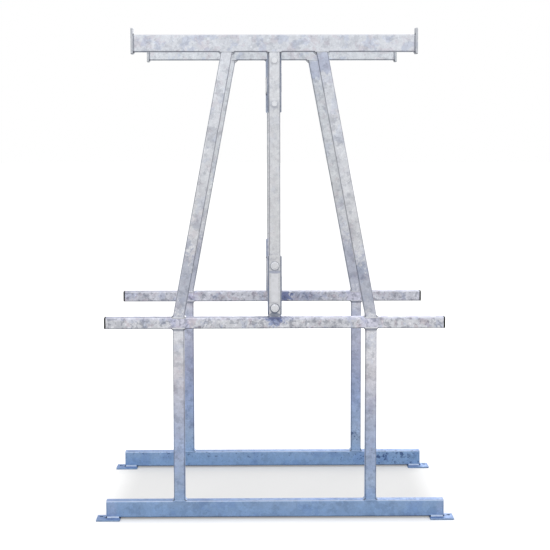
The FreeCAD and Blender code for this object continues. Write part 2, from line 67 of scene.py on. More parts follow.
BODY = "root"

Socket = bpy.types.NodeSocket
Colour = tuple[float, float, float, float]


class Slot(Enum):
    """The names of two material slots, for galvanised steel and for fastener steel."""

    STEEL = "galvanised_steel"
    FASTENER = "fastener_steel"


class Side(Enum):
    """Left and right of a frame, as the sign of X."""

    LEFT = -1
    RIGHT = 1


class Row(Enum):
    """The two end frames, as the sign of Y."""

    FRONT = -1
    REAR = 1


def swatch(red: int, green: int, blue: int) -> Colour:
    """Turns a paint-chart colour into the linear values that a shader takes.

    Args:
        red: Red, 0 to 255.
        green: Green, 0 to 255.
        blue: Blue, 0 to 255.

    Returns:
        Linear red, green and blue, and a full alpha.
    """

    def linear(level: int) -> float:
        """Undoes the display curve of one channel."""
        share = level / 255
        return share / 12.92 if share <= 0.04045 else ((share + 0.055) / 1.055) ** 2.4

    return (linear(red), linear(green), linear(blue), 1.0)


X, Y, Z = Vector((1, 0, 0)), Vector((0, 1, 0)), Vector((0, 0, 1))
STAND_HEIGHT = CAD_BOX[1].z
WHITE = (1.0, 1.0, 1.0, 1.0)

# The zinc's colour by height, with a painted bluish reflection and shade that grow towards the floor.
# A new ramp already has its first and last stop, so those two lead.
ZINC_AND_REFLECTION_BY_HEIGHT = (
    (0.03, swatch(141, 171, 210)),
    (STAND_HEIGHT, swatch(209, 212, 218)),
    (0.14, swatch(162, 178, 203)),
    (0.27, swatch(168, 182, 209)),
    (0.38, swatch(184, 189, 205)),
    (0.465, swatch(196, 197, 208)),
    (0.53, swatch(210, 208, 213)),
    (0.62, swatch(211, 212, 217)),
    (1.05, swatch(204, 205, 208)),
)

# Painted shade on the rear frame: tints that multiply the zinc's colour there, at the heights where each
# takes over.
REAR_PAINTED_SHADE_HIGH = (1.02, 1.03, 1.02, 1.0)
REAR_PAINTED_SHADE_MIDDLE = (0.96, 0.96, 1.0, 1.0)
REAR_PAINTED_SHADE_LOW = (0.76, 0.81, 0.94, 1.0)
REAR_PAINTED_SHADE_FLOOR = (0.96, 1.0, 1.02, 1.0)

# Tints and colours of the marks that every zinc finish may have: grain, mottling and flakes, and painted
# light and shade on arrises, tops and inner corners.
GRIME_AND_CORNER_SHADE = swatch(128, 134, 152)
SHADE_LINE = swatch(150, 154, 166)
CATCH_LIGHT = swatch(236, 240, 248)
TOP_PAINTED_SHADE = swatch(226, 228, 244)
SMUDGE = swatch(198, 200, 206)
BLUSH = swatch(232, 218, 222)
BLOOM = swatch(196, 208, 236)
FLAKE = (1.22, 1.22, 1.2, 1.0)
DROSS = (0.42, 0.45, 0.52, 1.0)


class Graph:
    """Adds nodes to one node tree and wires them together."""

    def __init__(self, tree: bpy.types.NodeTree) -> None:
        """Empties the tree and works on it."""
        self.tree = tree
        tree.nodes.clear()

    def feed(self, socket: Socket, value: object) -> None:
        """Joins a socket to an input, or sets the input's own value.

        Args:
            socket: The input.
            value: Another node's output, or a plain value.
        """
        if isinstance(value, bpy.types.NodeSocket):
            self.tree.links.new(value, socket)
        else:
            socket.default_value = value

    def add(self, kind: str, inputs: dict | None = None, **settings: object) -> bpy.types.Node:
        """Adds one node.

        Args:
            kind: The node's type name.
            inputs: Values or sockets, by input name or number.
            **settings: The node's own properties.

        Returns:
            The node.
        """
        node = self.tree.nodes.new(kind)
        for name, value in settings.items():
            setattr(node, name, value)
        for key, value in (inputs or {}).items():
            self.feed(node.inputs[key], value)
        return node

    def math(self, operation: str, *values: object) -> Socket:
        """Adds a Math node on one, two or three values and returns its result."""
        return self.add("ShaderNodeMath", dict(enumerate(values)), operation=operation).outputs[0]

    def times(self, first: object, second: object) -> Socket:
        """Multiplies two values."""
        return self.math("MULTIPLY", first, second)

    def vector_math(self, operation: str, *values: object) -> bpy.types.Node:
        """Adds a Vector Math node and returns it."""
        return self.add("ShaderNodeVectorMath", dict(enumerate(values)), operation=operation)

    def span(
        self, value: object, low: object, high: object, bottom: float = 0.0, top: float = 1.0
    ) -> Socket:
        """Eases a value from one range to another and holds it there.

        Args:
            value: What is mapped.
            low: The input value that gives bottom.
            high: The input value that gives top.
            bottom: The result at low.
            top: The result at high.

        Returns:
            The eased value.
        """
        inputs = {0: value, 1: low, 2: high, 3: bottom, 4: top}
        return self.add("ShaderNodeMapRange", inputs, interpolation_type="SMOOTHSTEP").outputs[0]

    def blend(self, share: object, first: object, second: object, mode: str = "MIX") -> Socket:
        """Mixes two colours.

        Args:
            share: How much of the second shows.
            first: The colour underneath.
            second: The colour on top.
            mode: The blend mode's name.

        Returns:
            The mixed colour.
        """
        inputs = {0: share, 6: first, 7: second}
        node = self.add("ShaderNodeMix", inputs, data_type="RGBA", blend_type=mode, clamp_factor=True)
        return node.outputs[2]

    def tint(self, share: object, colour: object, glaze: object) -> Socket:
        """Multiplies a colour by a glaze, as far as the share says."""
        return self.blend(share, colour, glaze, "MULTIPLY")

    def place(self, group: bpy.types.NodeTree, inputs: dict) -> bpy.types.NodeOutputs:
        """Places a node group with its own values.

        Args:
            group: The group.
            inputs: Values or sockets, by input name.

        Returns:
            The outputs of the placed group.
        """
        return self.add("ShaderNodeGroup", inputs, node_tree=group).outputs


def begin_material(name: str) -> tuple[bpy.types.Material, Graph, Socket]:
    """Starts a material.

    Args:
        name: Its name.

    Returns:
        The material, its graph and the Object coordinates.
    """
    material = bpy.data.materials.new(name)
    material.use_nodes = True
    graph = Graph(material.node_tree)
    return material, graph, graph.add("ShaderNodeTexCoord").outputs["Object"]


class EffectGroups:
    """The shader node groups that several finishes use, each built once."""

    def __init__(self) -> None:
        """Builds every group."""
        self.crystals = self._crystals()
        self.cloud = self._cloud()
        self.arris = self._arris()
        self.spot = self._spot()
        self.specks = self._specks()
        self.zinc_tone = self._zinc_tone()

    @staticmethod
    def _open(name: str, takes: dict[str, float | None], gives: dict[str, str]) -> tuple:
        """Starts a group with named inputs and outputs.

        Args:
            name: The group's name.
            takes: Input names with their default values; None makes a vector input.
            gives: Output names with their kind, Float or Color.

        Returns:
            The tree, its graph, the sockets that carry its inputs and its output node.
        """
        tree = bpy.data.node_groups.new(name, "ShaderNodeTree")
        for label, default in takes.items():
            kind = "NodeSocketVector" if default is None else "NodeSocketFloat"
            socket = tree.interface.new_socket(label, in_out="INPUT", socket_type=kind)
            if default is not None:
                socket.default_value = default
        for label, kind in gives.items():
            tree.interface.new_socket(label, in_out="OUTPUT", socket_type="NodeSocket" + kind)
        graph = Graph(tree)
        return tree, graph, graph.add("NodeGroupInput").outputs, graph.add("NodeGroupOutput")

    def lay_cloud(
        self, graph: Graph, where: Socket, size: float, low: float, high: float, seed: float
    ) -> Socket:
        """Places one cloud pattern in a material.

        Args:
            graph: The material's graph.
            where: The pattern's coordinates.
            size: The size of its patches.
            low: The level at which a patch starts.
            high: The level at which it is full.
            seed: Which of the possible patterns it is.

        Returns:
            The mask.
        """
        inputs = {"Vector": where, "Patch Size": size, "Seed": seed}
        inputs |= {"Lower Level": low, "Upper Level": high}
        return graph.place(self.cloud, inputs)["Mask"]

    def _crystals(self) -> bpy.types.NodeTree:
        """Zinc crystals: flat cells of two sizes, wavy at their borders.

        Returns:
            The group.
        """
        takes = {"Vector": None, "Crystal Size": 0.014, "Warp": 0.012}
        gives = {"Facet": "Float", "Sheen": "Float", "Border": "Float"}
        tree, graph, given, out = self._open("zinc_crystals", takes, gives)
        density = graph.math("DIVIDE", 1.0, given["Crystal Size"])
        inputs = {"Vector": given["Vector"], "Scale": graph.times(density, 0.7), "Detail": 3.0}
        swirl = graph.add("ShaderNodeTexNoise", inputs)
        centred = graph.vector_math("SUBTRACT", swirl.outputs["Color"], (0.5, 0.5, 0.5)).outputs[0]
        inputs = {0: centred, "Scale": given["Warp"]}
        offset = graph.add("ShaderNodeVectorMath", inputs, operation="SCALE").outputs[0]
        warped = graph.vector_math("ADD", given["Vector"], offset).outputs[0]
        coarse = graph.add("ShaderNodeTexVoronoi", {"Vector": warped, "Scale": density})
        fine_density = graph.times(density, 2.6)
        fine = graph.add("ShaderNodeTexVoronoi", {"Vector": warped, "Scale": fine_density})
        split_coarse = graph.add("ShaderNodeSeparateColor", {0: coarse.outputs["Color"]})
        split_fine = graph.add("ShaderNodeSeparateColor", {0: fine.outputs["Color"]})
        part = graph.times(split_fine.outputs[0], 0.35)
        facet = graph.math("MULTIPLY_ADD", split_coarse.outputs[0], 0.65, part)
        inputs = {"Vector": warped, "Scale": density}
        edge = graph.add("ShaderNodeTexVoronoi", inputs, feature="DISTANCE_TO_EDGE")
        graph.feed(out.inputs["Facet"], facet)
        graph.feed(out.inputs["Sheen"], split_coarse.outputs[1])
        graph.feed(out.inputs["Border"], graph.span(edge.outputs["Distance"], 0.0, 0.09, 1.0, 0.0))
        return tree

    def _cloud(self) -> bpy.types.NodeTree:
        """Soft patches of one size, cut between two levels.

        Returns:
            The group.
        """
        takes = {"Vector": None, "Patch Size": 0.1, "Lower Level": 0.4, "Upper Level": 0.6, "Seed": 0.0}
        tree, graph, given, out = self._open("soft_cloud", takes, {"Mask": "Float"})
        density = graph.math("DIVIDE", 1.0, given["Patch Size"])
        inputs = {"Vector": given["Vector"], "W": given["Seed"], "Scale": density}
        inputs |= {"Detail": 4.0, "Roughness": 0.6}
        noise = graph.add("ShaderNodeTexNoise", inputs, noise_dimensions="4D")
        mask = graph.span(noise.outputs["Fac"], given["Lower Level"], given["Upper Level"])
        graph.feed(out.inputs["Mask"], mask)
        return tree

    def _arris(self) -> bpy.types.NodeTree:
        """Masks by which way the surface looks, for painted light: arrises that catch light, arrises in
        shade, and tops that take a painted bluish shade.

        Returns:
            The group.
        """
        gives = {"Catch Light": "Float", "Shade Line": "Float", "Top": "Float"}
        tree, graph, _, out = self._open("arris", {}, gives)
        normal = graph.add("ShaderNodeTexCoord").outputs["Normal"]
        size = graph.vector_math("ABSOLUTE", normal).outputs[0]
        parts = graph.add("ShaderNodeSeparateXYZ", {0: size}).outputs
        signed = graph.add("ShaderNodeSeparateXYZ", {0: normal}).outputs
        widest = graph.math("MAXIMUM", graph.math("MAXIMUM", parts[0], parts[1]), parts[2])
        rounded = graph.span(widest, 0.965, 0.84)
        upward = graph.span(signed["Z"], 0.1, 0.5)
        forward = graph.span(signed["Y"], 0.1, -0.2)
        catch = graph.times(graph.times(rounded, upward), forward)
        beneath = graph.span(signed["Z"], -0.1, -0.5)
        upright = graph.times(graph.span(parts[2], 0.4, 0.1), 0.75)
        behind = graph.times(upward, graph.span(signed["Y"], 0.05, 0.3))
        shade = graph.math("MAXIMUM", graph.math("MAXIMUM", beneath, upright), behind)
        graph.feed(out.inputs["Catch Light"], catch)
        graph.feed(out.inputs["Shade Line"], graph.times(rounded, shade))
        graph.feed(out.inputs["Top"], graph.span(signed["Z"], 0.8, 0.97))
        return tree

    def _spot(self) -> bpy.types.NodeTree:
        """One ragged patch about a place on the stand, on one side or the same left and right.

        Returns:
            The group.
        """
        takes = {"Vector": None, "Centre": None, "Reach": None}
        takes |= {"Raggedness": 1.0, "Both Sides": 1.0, "Sparseness": 0.0}
        tree, graph, given, out = self._open("local_patch", takes, {"Mask": "Float"})
        parts = graph.add("ShaderNodeSeparateXYZ", {0: given["Vector"]}).outputs
        gap = graph.math("SUBTRACT", graph.math("ABSOLUTE", parts[0]), parts[0])
        across = graph.math("MULTIPLY_ADD", gap, given["Both Sides"], parts[0])
        folded = graph.add("ShaderNodeCombineXYZ", {0: across, 1: parts[1], 2: parts[2]})
        away = graph.vector_math("SUBTRACT", folded.outputs[0], given["Centre"]).outputs[0]
        scaled = graph.vector_math("DIVIDE", away, given["Reach"]).outputs[0]
        distance = graph.vector_math("LENGTH", scaled).outputs["Value"]
        inputs = {"Vector": given["Vector"], "Scale": 80.0, "Detail": 5.0, "Roughness": 0.7}
        ragged = graph.math("SUBTRACT", graph.add("ShaderNodeTexNoise", inputs).outputs["Fac"], 0.5)
        outline = graph.math("ADD", distance, graph.times(ragged, given["Raggedness"]))
        thinned = graph.math("ADD", outline, given["Sparseness"])
        graph.feed(out.inputs["Mask"], graph.span(thinned, 1.0, 0.7))
        return tree

    def _specks(self) -> bpy.types.NodeTree:
        """Scattered grains of dross, as a mask that is also a height.

        Returns:
            The group.
        """
        takes = {"Vector": None, "Grain Size": 0.006, "Share": 0.15}
        tree, graph, given, out = self._open("dross_specks", takes, {"Mask": "Float"})
        density = graph.math("DIVIDE", 1.0, given["Grain Size"])
        cells = graph.add("ShaderNodeTexVoronoi", {"Vector": given["Vector"], "Scale": density})
        dice = graph.add("ShaderNodeSeparateColor", {0: cells.outputs["Color"]}).outputs[2]
        chosen = graph.math("LESS_THAN", dice, given["Share"])
        grain = graph.span(cells.outputs["Distance"], 0.42, 0.12)
        graph.feed(out.inputs["Mask"], graph.times(chosen, grain))
        return tree

    def _zinc_tone(self) -> bpy.types.NodeTree:
        """The zinc's colour, from bright grey-lilac at the top to steel blue at the floor: its own colour
        with a painted bluish reflection and shade lower down, and painted shade on the rear frame.

        Returns:
            The group.
        """
        takes = {"Vector": None, "Drift": 0.06}
        tree, graph, given, out = self._open("zinc_tone", takes, {"Color": "Color"})
        parts = graph.add("ShaderNodeSeparateXYZ", {0: given["Vector"]}).outputs
        wander = graph.add("ShaderNodeTexNoise", {"Vector": given["Vector"], "Scale": 9.0, "Detail": 2.0})
        shift = graph.times(graph.math("SUBTRACT", wander.outputs["Fac"], 0.5), given["Drift"])
        level = graph.math("DIVIDE", graph.math("ADD", parts[2], shift), STAND_HEIGHT)
        ramp = graph.add("ShaderNodeValToRGB", {0: level})
        stops = ramp.color_ramp.elements
        for number, (height, chip) in enumerate(ZINC_AND_REFLECTION_BY_HEIGHT):
            stop = stops[number] if number < 2 else stops.new(height / STAND_HEIGHT)
            stop.position = height / STAND_HEIGHT
            stop.color = chip
        # Painted shade on the rear frame, darker and bluer on its lower half.
        rear = graph.span(parts[1], 0.2, 0.38)
        tint = graph.blend(graph.span(parts[2], 1.2, 0.72), REAR_PAINTED_SHADE_HIGH, REAR_PAINTED_SHADE_MIDDLE)
        tint = graph.blend(graph.span(parts[2], 0.68, 0.62), tint, REAR_PAINTED_SHADE_LOW)
        tint = graph.blend(graph.span(parts[2], 0.45, 0.1), tint, REAR_PAINTED_SHADE_FLOOR)
        graph.feed(out.inputs["Color"], graph.tint(rear, ramp.outputs[0], tint))
        return tree


@dataclass(frozen=True)
class Patch:
    """A place where the zinc's colour differs: its middle, its reach, its colour and how strongly it shows.

    raggedness is how far its outline wanders; both_sides repeats it on the other side of the middle;
    sparseness breaks it up into grains.
    """

    centre: tuple[float, float, float]
    reach: tuple[float, float, float]
    colour: Colour
    strength: float
    raggedness: float = 1.0
    both_sides: bool = True
    sparseness: float = 0.0


@dataclass(frozen=True)
class GalvanisedFinish:
    """Hot-dip zinc on one kind of member.

    crystal is the crystals' size and blotch that of the mottling; contrast is how much the crystals
    differ in brightness; smudge, blush and bloom are how strongly the grey, pinkish and bluish patches
    show; dross is the share of grains and crevice is how dark the painted shade in the inner corners is.
    """

    name: str
    brightness: float = 1.0
    saturation: float = 1.0
    crystal: float = 0.012
    blotch: float = 0.022
    contrast: float = 0.2
    smudge: float = 0.3
    blush: float = 0.25
    bloom: float = 0.25
    dross: float = 0.05
    crevice: float = 0.75
    roughness: float = 0.44
    metallic: float = 0.7
    patches: tuple[Patch, ...] = ()

    def build(self, groups: EffectGroups) -> bpy.types.Material:
        """Makes the material.

        Args:
            groups: The shared node groups.

        Returns:
            The finished material.
        """
        material, graph, where = begin_material(self.name)
        # The zinc's colour with its painted bluish reflection and shade by height.
        tone = graph.place(groups.zinc_tone, {"Vector": where, "Drift": 0.05})["Color"]
        warp = {"Vector": where, "Crystal Size": self.crystal, "Warp": self.crystal * 1.2}
        grain = graph.place(groups.crystals, warp)
        veil = groups.lay_cloud(graph, where, 0.16, 0.3, 0.7, 1.0)
        light = graph.math("MULTIPLY_ADD", graph.math("SUBTRACT", grain["Facet"], 0.5), self.contrast, 1.0)
        light = graph.math("MULTIPLY_ADD", graph.math("SUBTRACT", veil, 0.5), self.contrast * 0.4, light)
        light = graph.times(light, self.brightness)
        inputs = {"Color": tone, "Value": light, "Saturation": self.saturation}
        colour = graph.add("ShaderNodeHueSaturation", inputs).outputs[0]
        colour = self._stain_and_shade(graph, groups, where, colour)
        colour = self._mottle(graph, groups, where, colour)
        specks = graph.place(groups.specks, {"Vector": where, "Share": self.dross})["Mask"]
        colour = graph.tint(graph.times(specks, 0.4), colour, DROSS)
        colour = graph.tint(graph.times(grain["Border"], 0.12), colour, GRIME_AND_CORNER_SHADE)
        colour = self._edges(graph, groups, colour)
        rough = graph.math("MULTIPLY_ADD", grain["Sheen"], 0.16, self.roughness)
        height = graph.math("MULTIPLY_ADD", grain["Facet"], 0.25, graph.times(veil, 0.5))
        height = graph.math("MULTIPLY_ADD", specks, 0.8, height)
        bump = graph.add("ShaderNodeBump", {"Height": height, "Strength": 0.25, "Distance": 1.2 * MM})
        inputs = {"Base Color": colour, "Metallic": self.metallic, "Roughness": rough}
        inputs["Normal"] = bump.outputs[0]
        shader = graph.add("ShaderNodeBsdfPrincipled", inputs)
        graph.add("ShaderNodeOutputMaterial", {0: shader.outputs[0]})
        return material

    def _stain_and_shade(self, graph: Graph, groups: EffectGroups, where: Socket, colour: Socket) -> Socket:
        """Lays the finish's own patches over a colour.

        Args:
            graph: The material's graph.
            groups: The shared node groups.
            where: The pattern's coordinates.
            colour: The colour underneath.

        Returns:
            The colour with its stains and painted shade.
        """
        for patch in self.patches:
            inputs = {"Vector": where, "Centre": patch.centre, "Reach": patch.reach}
            inputs |= {"Raggedness": patch.raggedness, "Both Sides": float(patch.both_sides)}
            inputs |= {"Sparseness": patch.sparseness}
            mask = graph.place(groups.spot, inputs)["Mask"]
            colour = graph.blend(graph.times(mask, patch.strength), colour, patch.colour)
        return colour

    def _mottle(self, graph: Graph, groups: EffectGroups, where: Socket, colour: Socket) -> Socket:
        """Lays grey smudges, pinkish and bluish patches and pale flakes over a colour.

        Args:
            graph: The material's graph.
            groups: The shared node groups.
            where: The pattern's coordinates.
            colour: The colour underneath.

        Returns:
            The mottled colour.
        """
        marks = (
            (2.5, 0.48, 0.6, 2.0, self.smudge * 0.5, SMUDGE),
            (1.0, 0.52, 0.58, 11.0, self.smudge, SMUDGE),
            (1.5, 0.53, 0.6, 3.0, self.blush, BLUSH),
            (1.8, 0.54, 0.6, 7.0, self.bloom, BLOOM),
            (0.7, 0.57, 0.62, 5.0, self.smudge, FLAKE),
        )
        for size, low, high, seed, strength, glaze in marks:
            mask = groups.lay_cloud(graph, where, self.blotch * size, low, high, seed)
            colour = graph.tint(graph.times(mask, strength), colour, glaze)
        return colour

    def _edges(self, graph: Graph, groups: EffectGroups, colour: Socket) -> Socket:
        """Paints highlights and shade lines on the arrises, a bluish shade on the tops and shade in the
        inner corners of a colour.

        Args:
            graph: The material's graph.
            groups: The shared node groups.
            colour: The colour underneath.

        Returns:
            The shaded colour.
        """
        edges = graph.place(groups.arris, {})
        # Painted bluish shade on the tops, then painted shade lines and painted highlights on the arrises.
        colour = graph.tint(graph.times(edges["Top"], 0.8), colour, TOP_PAINTED_SHADE)
        shaded = graph.times(edges["Shade Line"], 0.85)
        colour = graph.tint(shaded, colour, SHADE_LINE)
        colour = graph.blend(graph.times(edges["Catch Light"], 0.4), colour, CATCH_LIGHT)
        # Painted shade in the inner corners, from ambient occlusion.
        corners = graph.add("ShaderNodeAmbientOcclusion", {"Distance": 14 * MM}, samples=8)
        share = graph.times(graph.span(corners.outputs["AO"], 0.72, 0.3), self.crevice)
        return graph.tint(share, colour, GRIME_AND_CORNER_SHADE)


@dataclass(frozen=True)
class PlasticFinish:
    """Black moulded plastic with a fine grain, light scuffs and a painted highlight on the arrises that
    face up and forward.
    """

    name: str = "black_cap_plastic"
    colour: Colour = swatch(8, 9, 11)
    scuff_and_highlight: Colour = swatch(52, 54, 59)

    def build(self, groups: EffectGroups) -> bpy.types.Material:
        """Makes the material.

        Args:
            groups: The shared node groups.

        Returns:
            The finished material.
        """
        material, graph, where = begin_material(self.name)
        scuffs = groups.lay_cloud(graph, where, 6 * MM, 0.56, 0.72, 2.0)
        edges = graph.place(groups.arris, {})
        # A painted highlight on the arrises that face up and forward, mixed with the scuffs.
        edge_highlight = graph.times(edges["Catch Light"], 0.3)
        share = graph.math("MULTIPLY_ADD", scuffs, 0.2, edge_highlight)
        colour = graph.blend(share, self.colour, self.scuff_and_highlight)
        grain = graph.add("ShaderNodeTexNoise", {"Vector": where, "Scale": 1400.0, "Detail": 2.0})
        rough = graph.math("MULTIPLY_ADD", scuffs, 0.2, 0.6)
        inputs = {"Height": grain.outputs["Fac"], "Strength": 0.3, "Distance": 0.2 * MM}
        bump = graph.add("ShaderNodeBump", inputs)
        inputs = {"Base Color": colour, "Roughness": rough, "Specular IOR Level": 0.3}
        inputs["Normal"] = bump.outputs[0]
        shader = graph.add("ShaderNodeBsdfPrincipled", inputs)
        graph.add("ShaderNodeOutputMaterial", {0: shader.outputs[0]})
        return material


@dataclass(frozen=True)
class LabelFinish:
    """Plain silvery film with nothing printed on it, a little creased and dulled in places."""

    name: str = "blank_silver_film"
    colour: Colour = swatch(214, 215, 219)
    dulled: Colour = swatch(190, 191, 195)

    def build(self, groups: EffectGroups) -> bpy.types.Material:
        """Makes the material.

        Args:
            groups: The shared node groups.

        Returns:
            The finished material.
        """
        material, graph, where = begin_material(self.name)
        dull = groups.lay_cloud(graph, where, 20 * MM, 0.4, 0.7, 5.0)
        creases = graph.add("ShaderNodeTexNoise", {"Vector": where, "Scale": 60.0, "Detail": 1.0})
        colour = graph.blend(graph.times(dull, 0.5), self.colour, self.dulled)
        inputs = {"Height": creases.outputs["Fac"], "Strength": 0.2, "Distance": 0.6 * MM}
        bump = graph.add("ShaderNodeBump", inputs)
        rough = graph.math("MULTIPLY_ADD", dull, 0.15, 0.32)
        inputs = {"Base Color": colour, "Roughness": rough, "Metallic": 0.25, "Normal": bump.outputs[0]}
        shader = graph.add("ShaderNodeBsdfPrincipled", inputs)
        graph.add("ShaderNodeOutputMaterial", {0: shader.outputs[0]})
        return material


# Colours of the stains and of the painted shade that stay in one place.
DARK_PAINTED_SHADE = swatch(84, 96, 118)
INK_STAIN = swatch(84, 98, 150)
BLUE_STAIN = swatch(132, 146, 186)
GREY_STAIN_AND_SHADE = swatch(166, 172, 190)
LILAC_STAIN = swatch(206, 205, 224)
PALE_STAIN = swatch(168, 186, 220)
RAIL_STAIN = swatch(62, 86, 132)
SHADED_STEEL = swatch(124, 140, 170)
BAR_TOP_SHEEN = swatch(214, 215, 232)

BEAM = GalvanisedFinish("zinc_beam", brightness=1.045, contrast=0.12, smudge=0.34, blush=0.35, bloom=0.3)
COLUMN = GalvanisedFinish(
    "zinc_column",
    brightness=1.05,
    saturation=0.7,
    contrast=0.1,
    smudge=0.22,
    blush=0.1,
    bloom=0.1,
    crevice=0.35,
    patches=(
        # Painted shade in rings round the bolt heads: the front's upper joint, then the rear's two joints.
        Patch((0.0, -0.41, 1.475), (0.018, 0.02, 0.018), GREY_STAIN_AND_SHADE, 0.2, 0.5),
        Patch((0.0, 0.43, 1.626), (0.02, 0.02, 0.02), GREY_STAIN_AND_SHADE, 0.6, 0.5),
        Patch((0.0, 0.43, 1.475), (0.02, 0.02, 0.02), GREY_STAIN_AND_SHADE, 0.6, 0.5),
        Patch((0.0, 0.43, 0.757), (0.021, 0.02, 0.021), DARK_PAINTED_SHADE, 0.6, 0.4),
        Patch((0.0, 0.43, 0.907), (0.021, 0.02, 0.021), DARK_PAINTED_SHADE, 0.5, 0.4),
        # An inky stain on both columns' feet.
        Patch((0.0, 0.0, 0.726), (0.05, 1.0, 0.014), INK_STAIN, 0.6, 1.4),
    ),
)
POST = GalvanisedFinish(
    "zinc_post",
    brightness=1.07,
    blotch=0.026,
    contrast=0.16,
    smudge=0.42,
    blush=0.25,
    bloom=0.2,
    patches=(
        # Greyer zinc above the mid bars, and painted shade in a dark line below them, on all four posts.
        Patch((0.33, 0.0, 0.84), (0.09, 2.0, 0.13), GREY_STAIN_AND_SHADE, 0.55, 3.0),
        Patch((0.341, 0.0, 0.682), (0.06, 2.0, 0.006), DARK_PAINTED_SHADE, 0.55, 0.3),
        # A blot on each front post, bluish heads on the right and dark grains at the rear right foot.
        Patch((0.305, -0.4, 0.885), (0.03, 0.1, 0.035), SHADED_STEEL, 0.35, 2.6, False),
        Patch((-0.315, -0.4, 0.99), (0.03, 0.1, 0.03), GREY_STAIN_AND_SHADE, 0.5, 2.6, False),
        Patch((0.18, 0.0, 1.62), (0.06, 2.0, 0.045), BLUE_STAIN, 0.4, 1.2, False),
        Patch((0.34, 0.41, 0.13), (0.04, 0.06, 0.06), RAIL_STAIN, 0.75, 8.0, False, 1.0),
    ),
)
BAR = GalvanisedFinish(
    "zinc_bar",
    brightness=1.02,
    blotch=0.017,
    contrast=0.2,
    smudge=0.8,
    blush=0.55,
    bloom=0.35,
    patches=(
        # Lilac zinc where the posts meet the bars, and a sheen along the top of the front bar.
        Patch((0.335, 0.0, 0.705), (0.042, 2.0, 0.05), LILAC_STAIN, 0.6, 0.5),
        Patch((0.0, -0.41, 0.725), (2.0, 0.05, 0.011), BAR_TOP_SHEEN, 0.45, 0.6),
        # Stains under the front column's foot, then on the rear bar to the right of its column.
        Patch((0.0, -0.395, 0.727), (0.06, 0.05, 0.014), INK_STAIN, 0.75, 3.4),
        Patch((0.0, -0.41, 0.71), (0.034, 0.03, 0.018), BLUE_STAIN, 0.75, 3.4),
        Patch((0.052, 0.39, 0.705), (0.034, 0.03, 0.026), INK_STAIN, 0.8, 3.4, False),
        Patch((0.13, 0.39, 0.705), (0.08, 0.03, 0.03), BLUE_STAIN, 0.35, 2.6, False),
    ),
)
RAIL = GalvanisedFinish(
    "zinc_rail",
    blotch=0.034,
    contrast=0.12,
    smudge=0.3,
    blush=0.0,
    bloom=0.3,
    patches=(
        # Paler ends on the front rail, then dark grains on the rear rail, thickest to the right.
        Patch((-0.61, -0.39, 0.03), (0.055, 0.09, 0.07), PALE_STAIN, 0.6, 0.5, False),
        Patch((0.61, -0.39, 0.03), (0.04, 0.09, 0.07), PALE_STAIN, 0.35, 0.5, False),
        Patch((0.45, 0.41, 0.04), (0.22, 0.08, 0.06), RAIL_STAIN, 0.85, 8.0, False, 0.95),
        Patch((-0.3, 0.41, 0.055), (0.6, 0.1, 0.03), RAIL_STAIN, 0.6, 8.0, False, 1.25),
    ),
)
PLATE = GalvanisedFinish("zinc_plate", brightness=0.94, contrast=0.14, smudge=0.2, blush=0.06, bloom=0.3)
END_STOP = replace(PLATE, name="zinc_end_stop", brightness=0.79)
JOINT = GalvanisedFinish(
    "zinc_joint_plate",
    brightness=1.05,
    saturation=0.7,
    contrast=0.1,
    smudge=0.2,
    blush=0.06,
    bloom=0.1,
    patches=(
        # Painted shade in rings round the two bolt heads, a painted shadow below the lower one and a band
        # of painted shadow below the upper one.
        Patch((0.0, -0.415, 0.757), (0.021, 0.02, 0.021), DARK_PAINTED_SHADE, 0.85, 0.4),
        Patch((0.0, -0.415, 0.907), (0.02, 0.02, 0.02), DARK_PAINTED_SHADE, 0.55, 0.4),
        Patch((0.0, -0.415, 0.735), (0.028, 0.02, 0.009), DARK_PAINTED_SHADE, 0.7, 1.4),
        Patch((0.0, -0.415, 0.887), (0.03, 0.02, 0.006), GREY_STAIN_AND_SHADE, 0.8, 0.6),
    ),
)
FLANGE = GalvanisedFinish(
    "zinc_flange",
    contrast=0.16,
    smudge=0.3,
    blush=0.05,
    bloom=0.3,
    # The long edges that show beside the columns are in shade.
    patches=(Patch((0.027, 0.0, 1.2), (0.0095, 2.0, 2.0), SHADED_STEEL, 0.62, 0.0),),
)
WELD = GalvanisedFinish(
    "zinc_weld",
    contrast=0.1,
    smudge=0.2,
    blush=0.05,
    bloom=0.1,
    crevice=0.6,
    roughness=0.36,
    # The inky stain runs over the weld at the front column's foot.
    patches=(Patch((0.0, -0.39, 0.726), (0.05, 0.06, 0.02), INK_STAIN, 0.8, 1.6),),
)
BOLT = GalvanisedFinish(
    "zinc_fastener",
    brightness=1.18,
    saturation=0.6,
    crystal=0.005,
    contrast=0.08,
    smudge=0.05,
    blush=0.0,
    bloom=0.05,
    crevice=0.6,
    roughness=0.32,
)
WASHER = replace(BOLT, name="zinc_washer", brightness=1.4, crevice=0.3)
ZINC_FINISHES = (BEAM, COLUMN, POST, BAR, RAIL, PLATE, END_STOP, JOINT, FLANGE, WELD, BOLT, WASHER)


@dataclass(frozen=True)
class WeldRun:
    """One straight run of weld metal, lens-shaped across.

    It goes from start to end, faces outward, spreads half_width to either side and stands rise proud
    of its own line; dish is how far its face is sunk in the middle.
    """

    start: Vector
    end: Vector
    outward: Vector
    half_width: float
    rise: float
    dish: float = 0.0


def seam(
    start: Vector, end: Vector, outward: Vector, half_width: float, rise: float = 1.2 * MM
) -> WeldRun:
    """A low run along a flush joint.

    Args:
        start: One end of the joint line.
        end: The other end.
        outward: The direction that the face looks in.
        half_width: How far the metal spreads to either side.
        rise: How far it stands proud.

    Returns:
        The run.
    """
    return WeldRun(start, end, outward, half_width, rise)


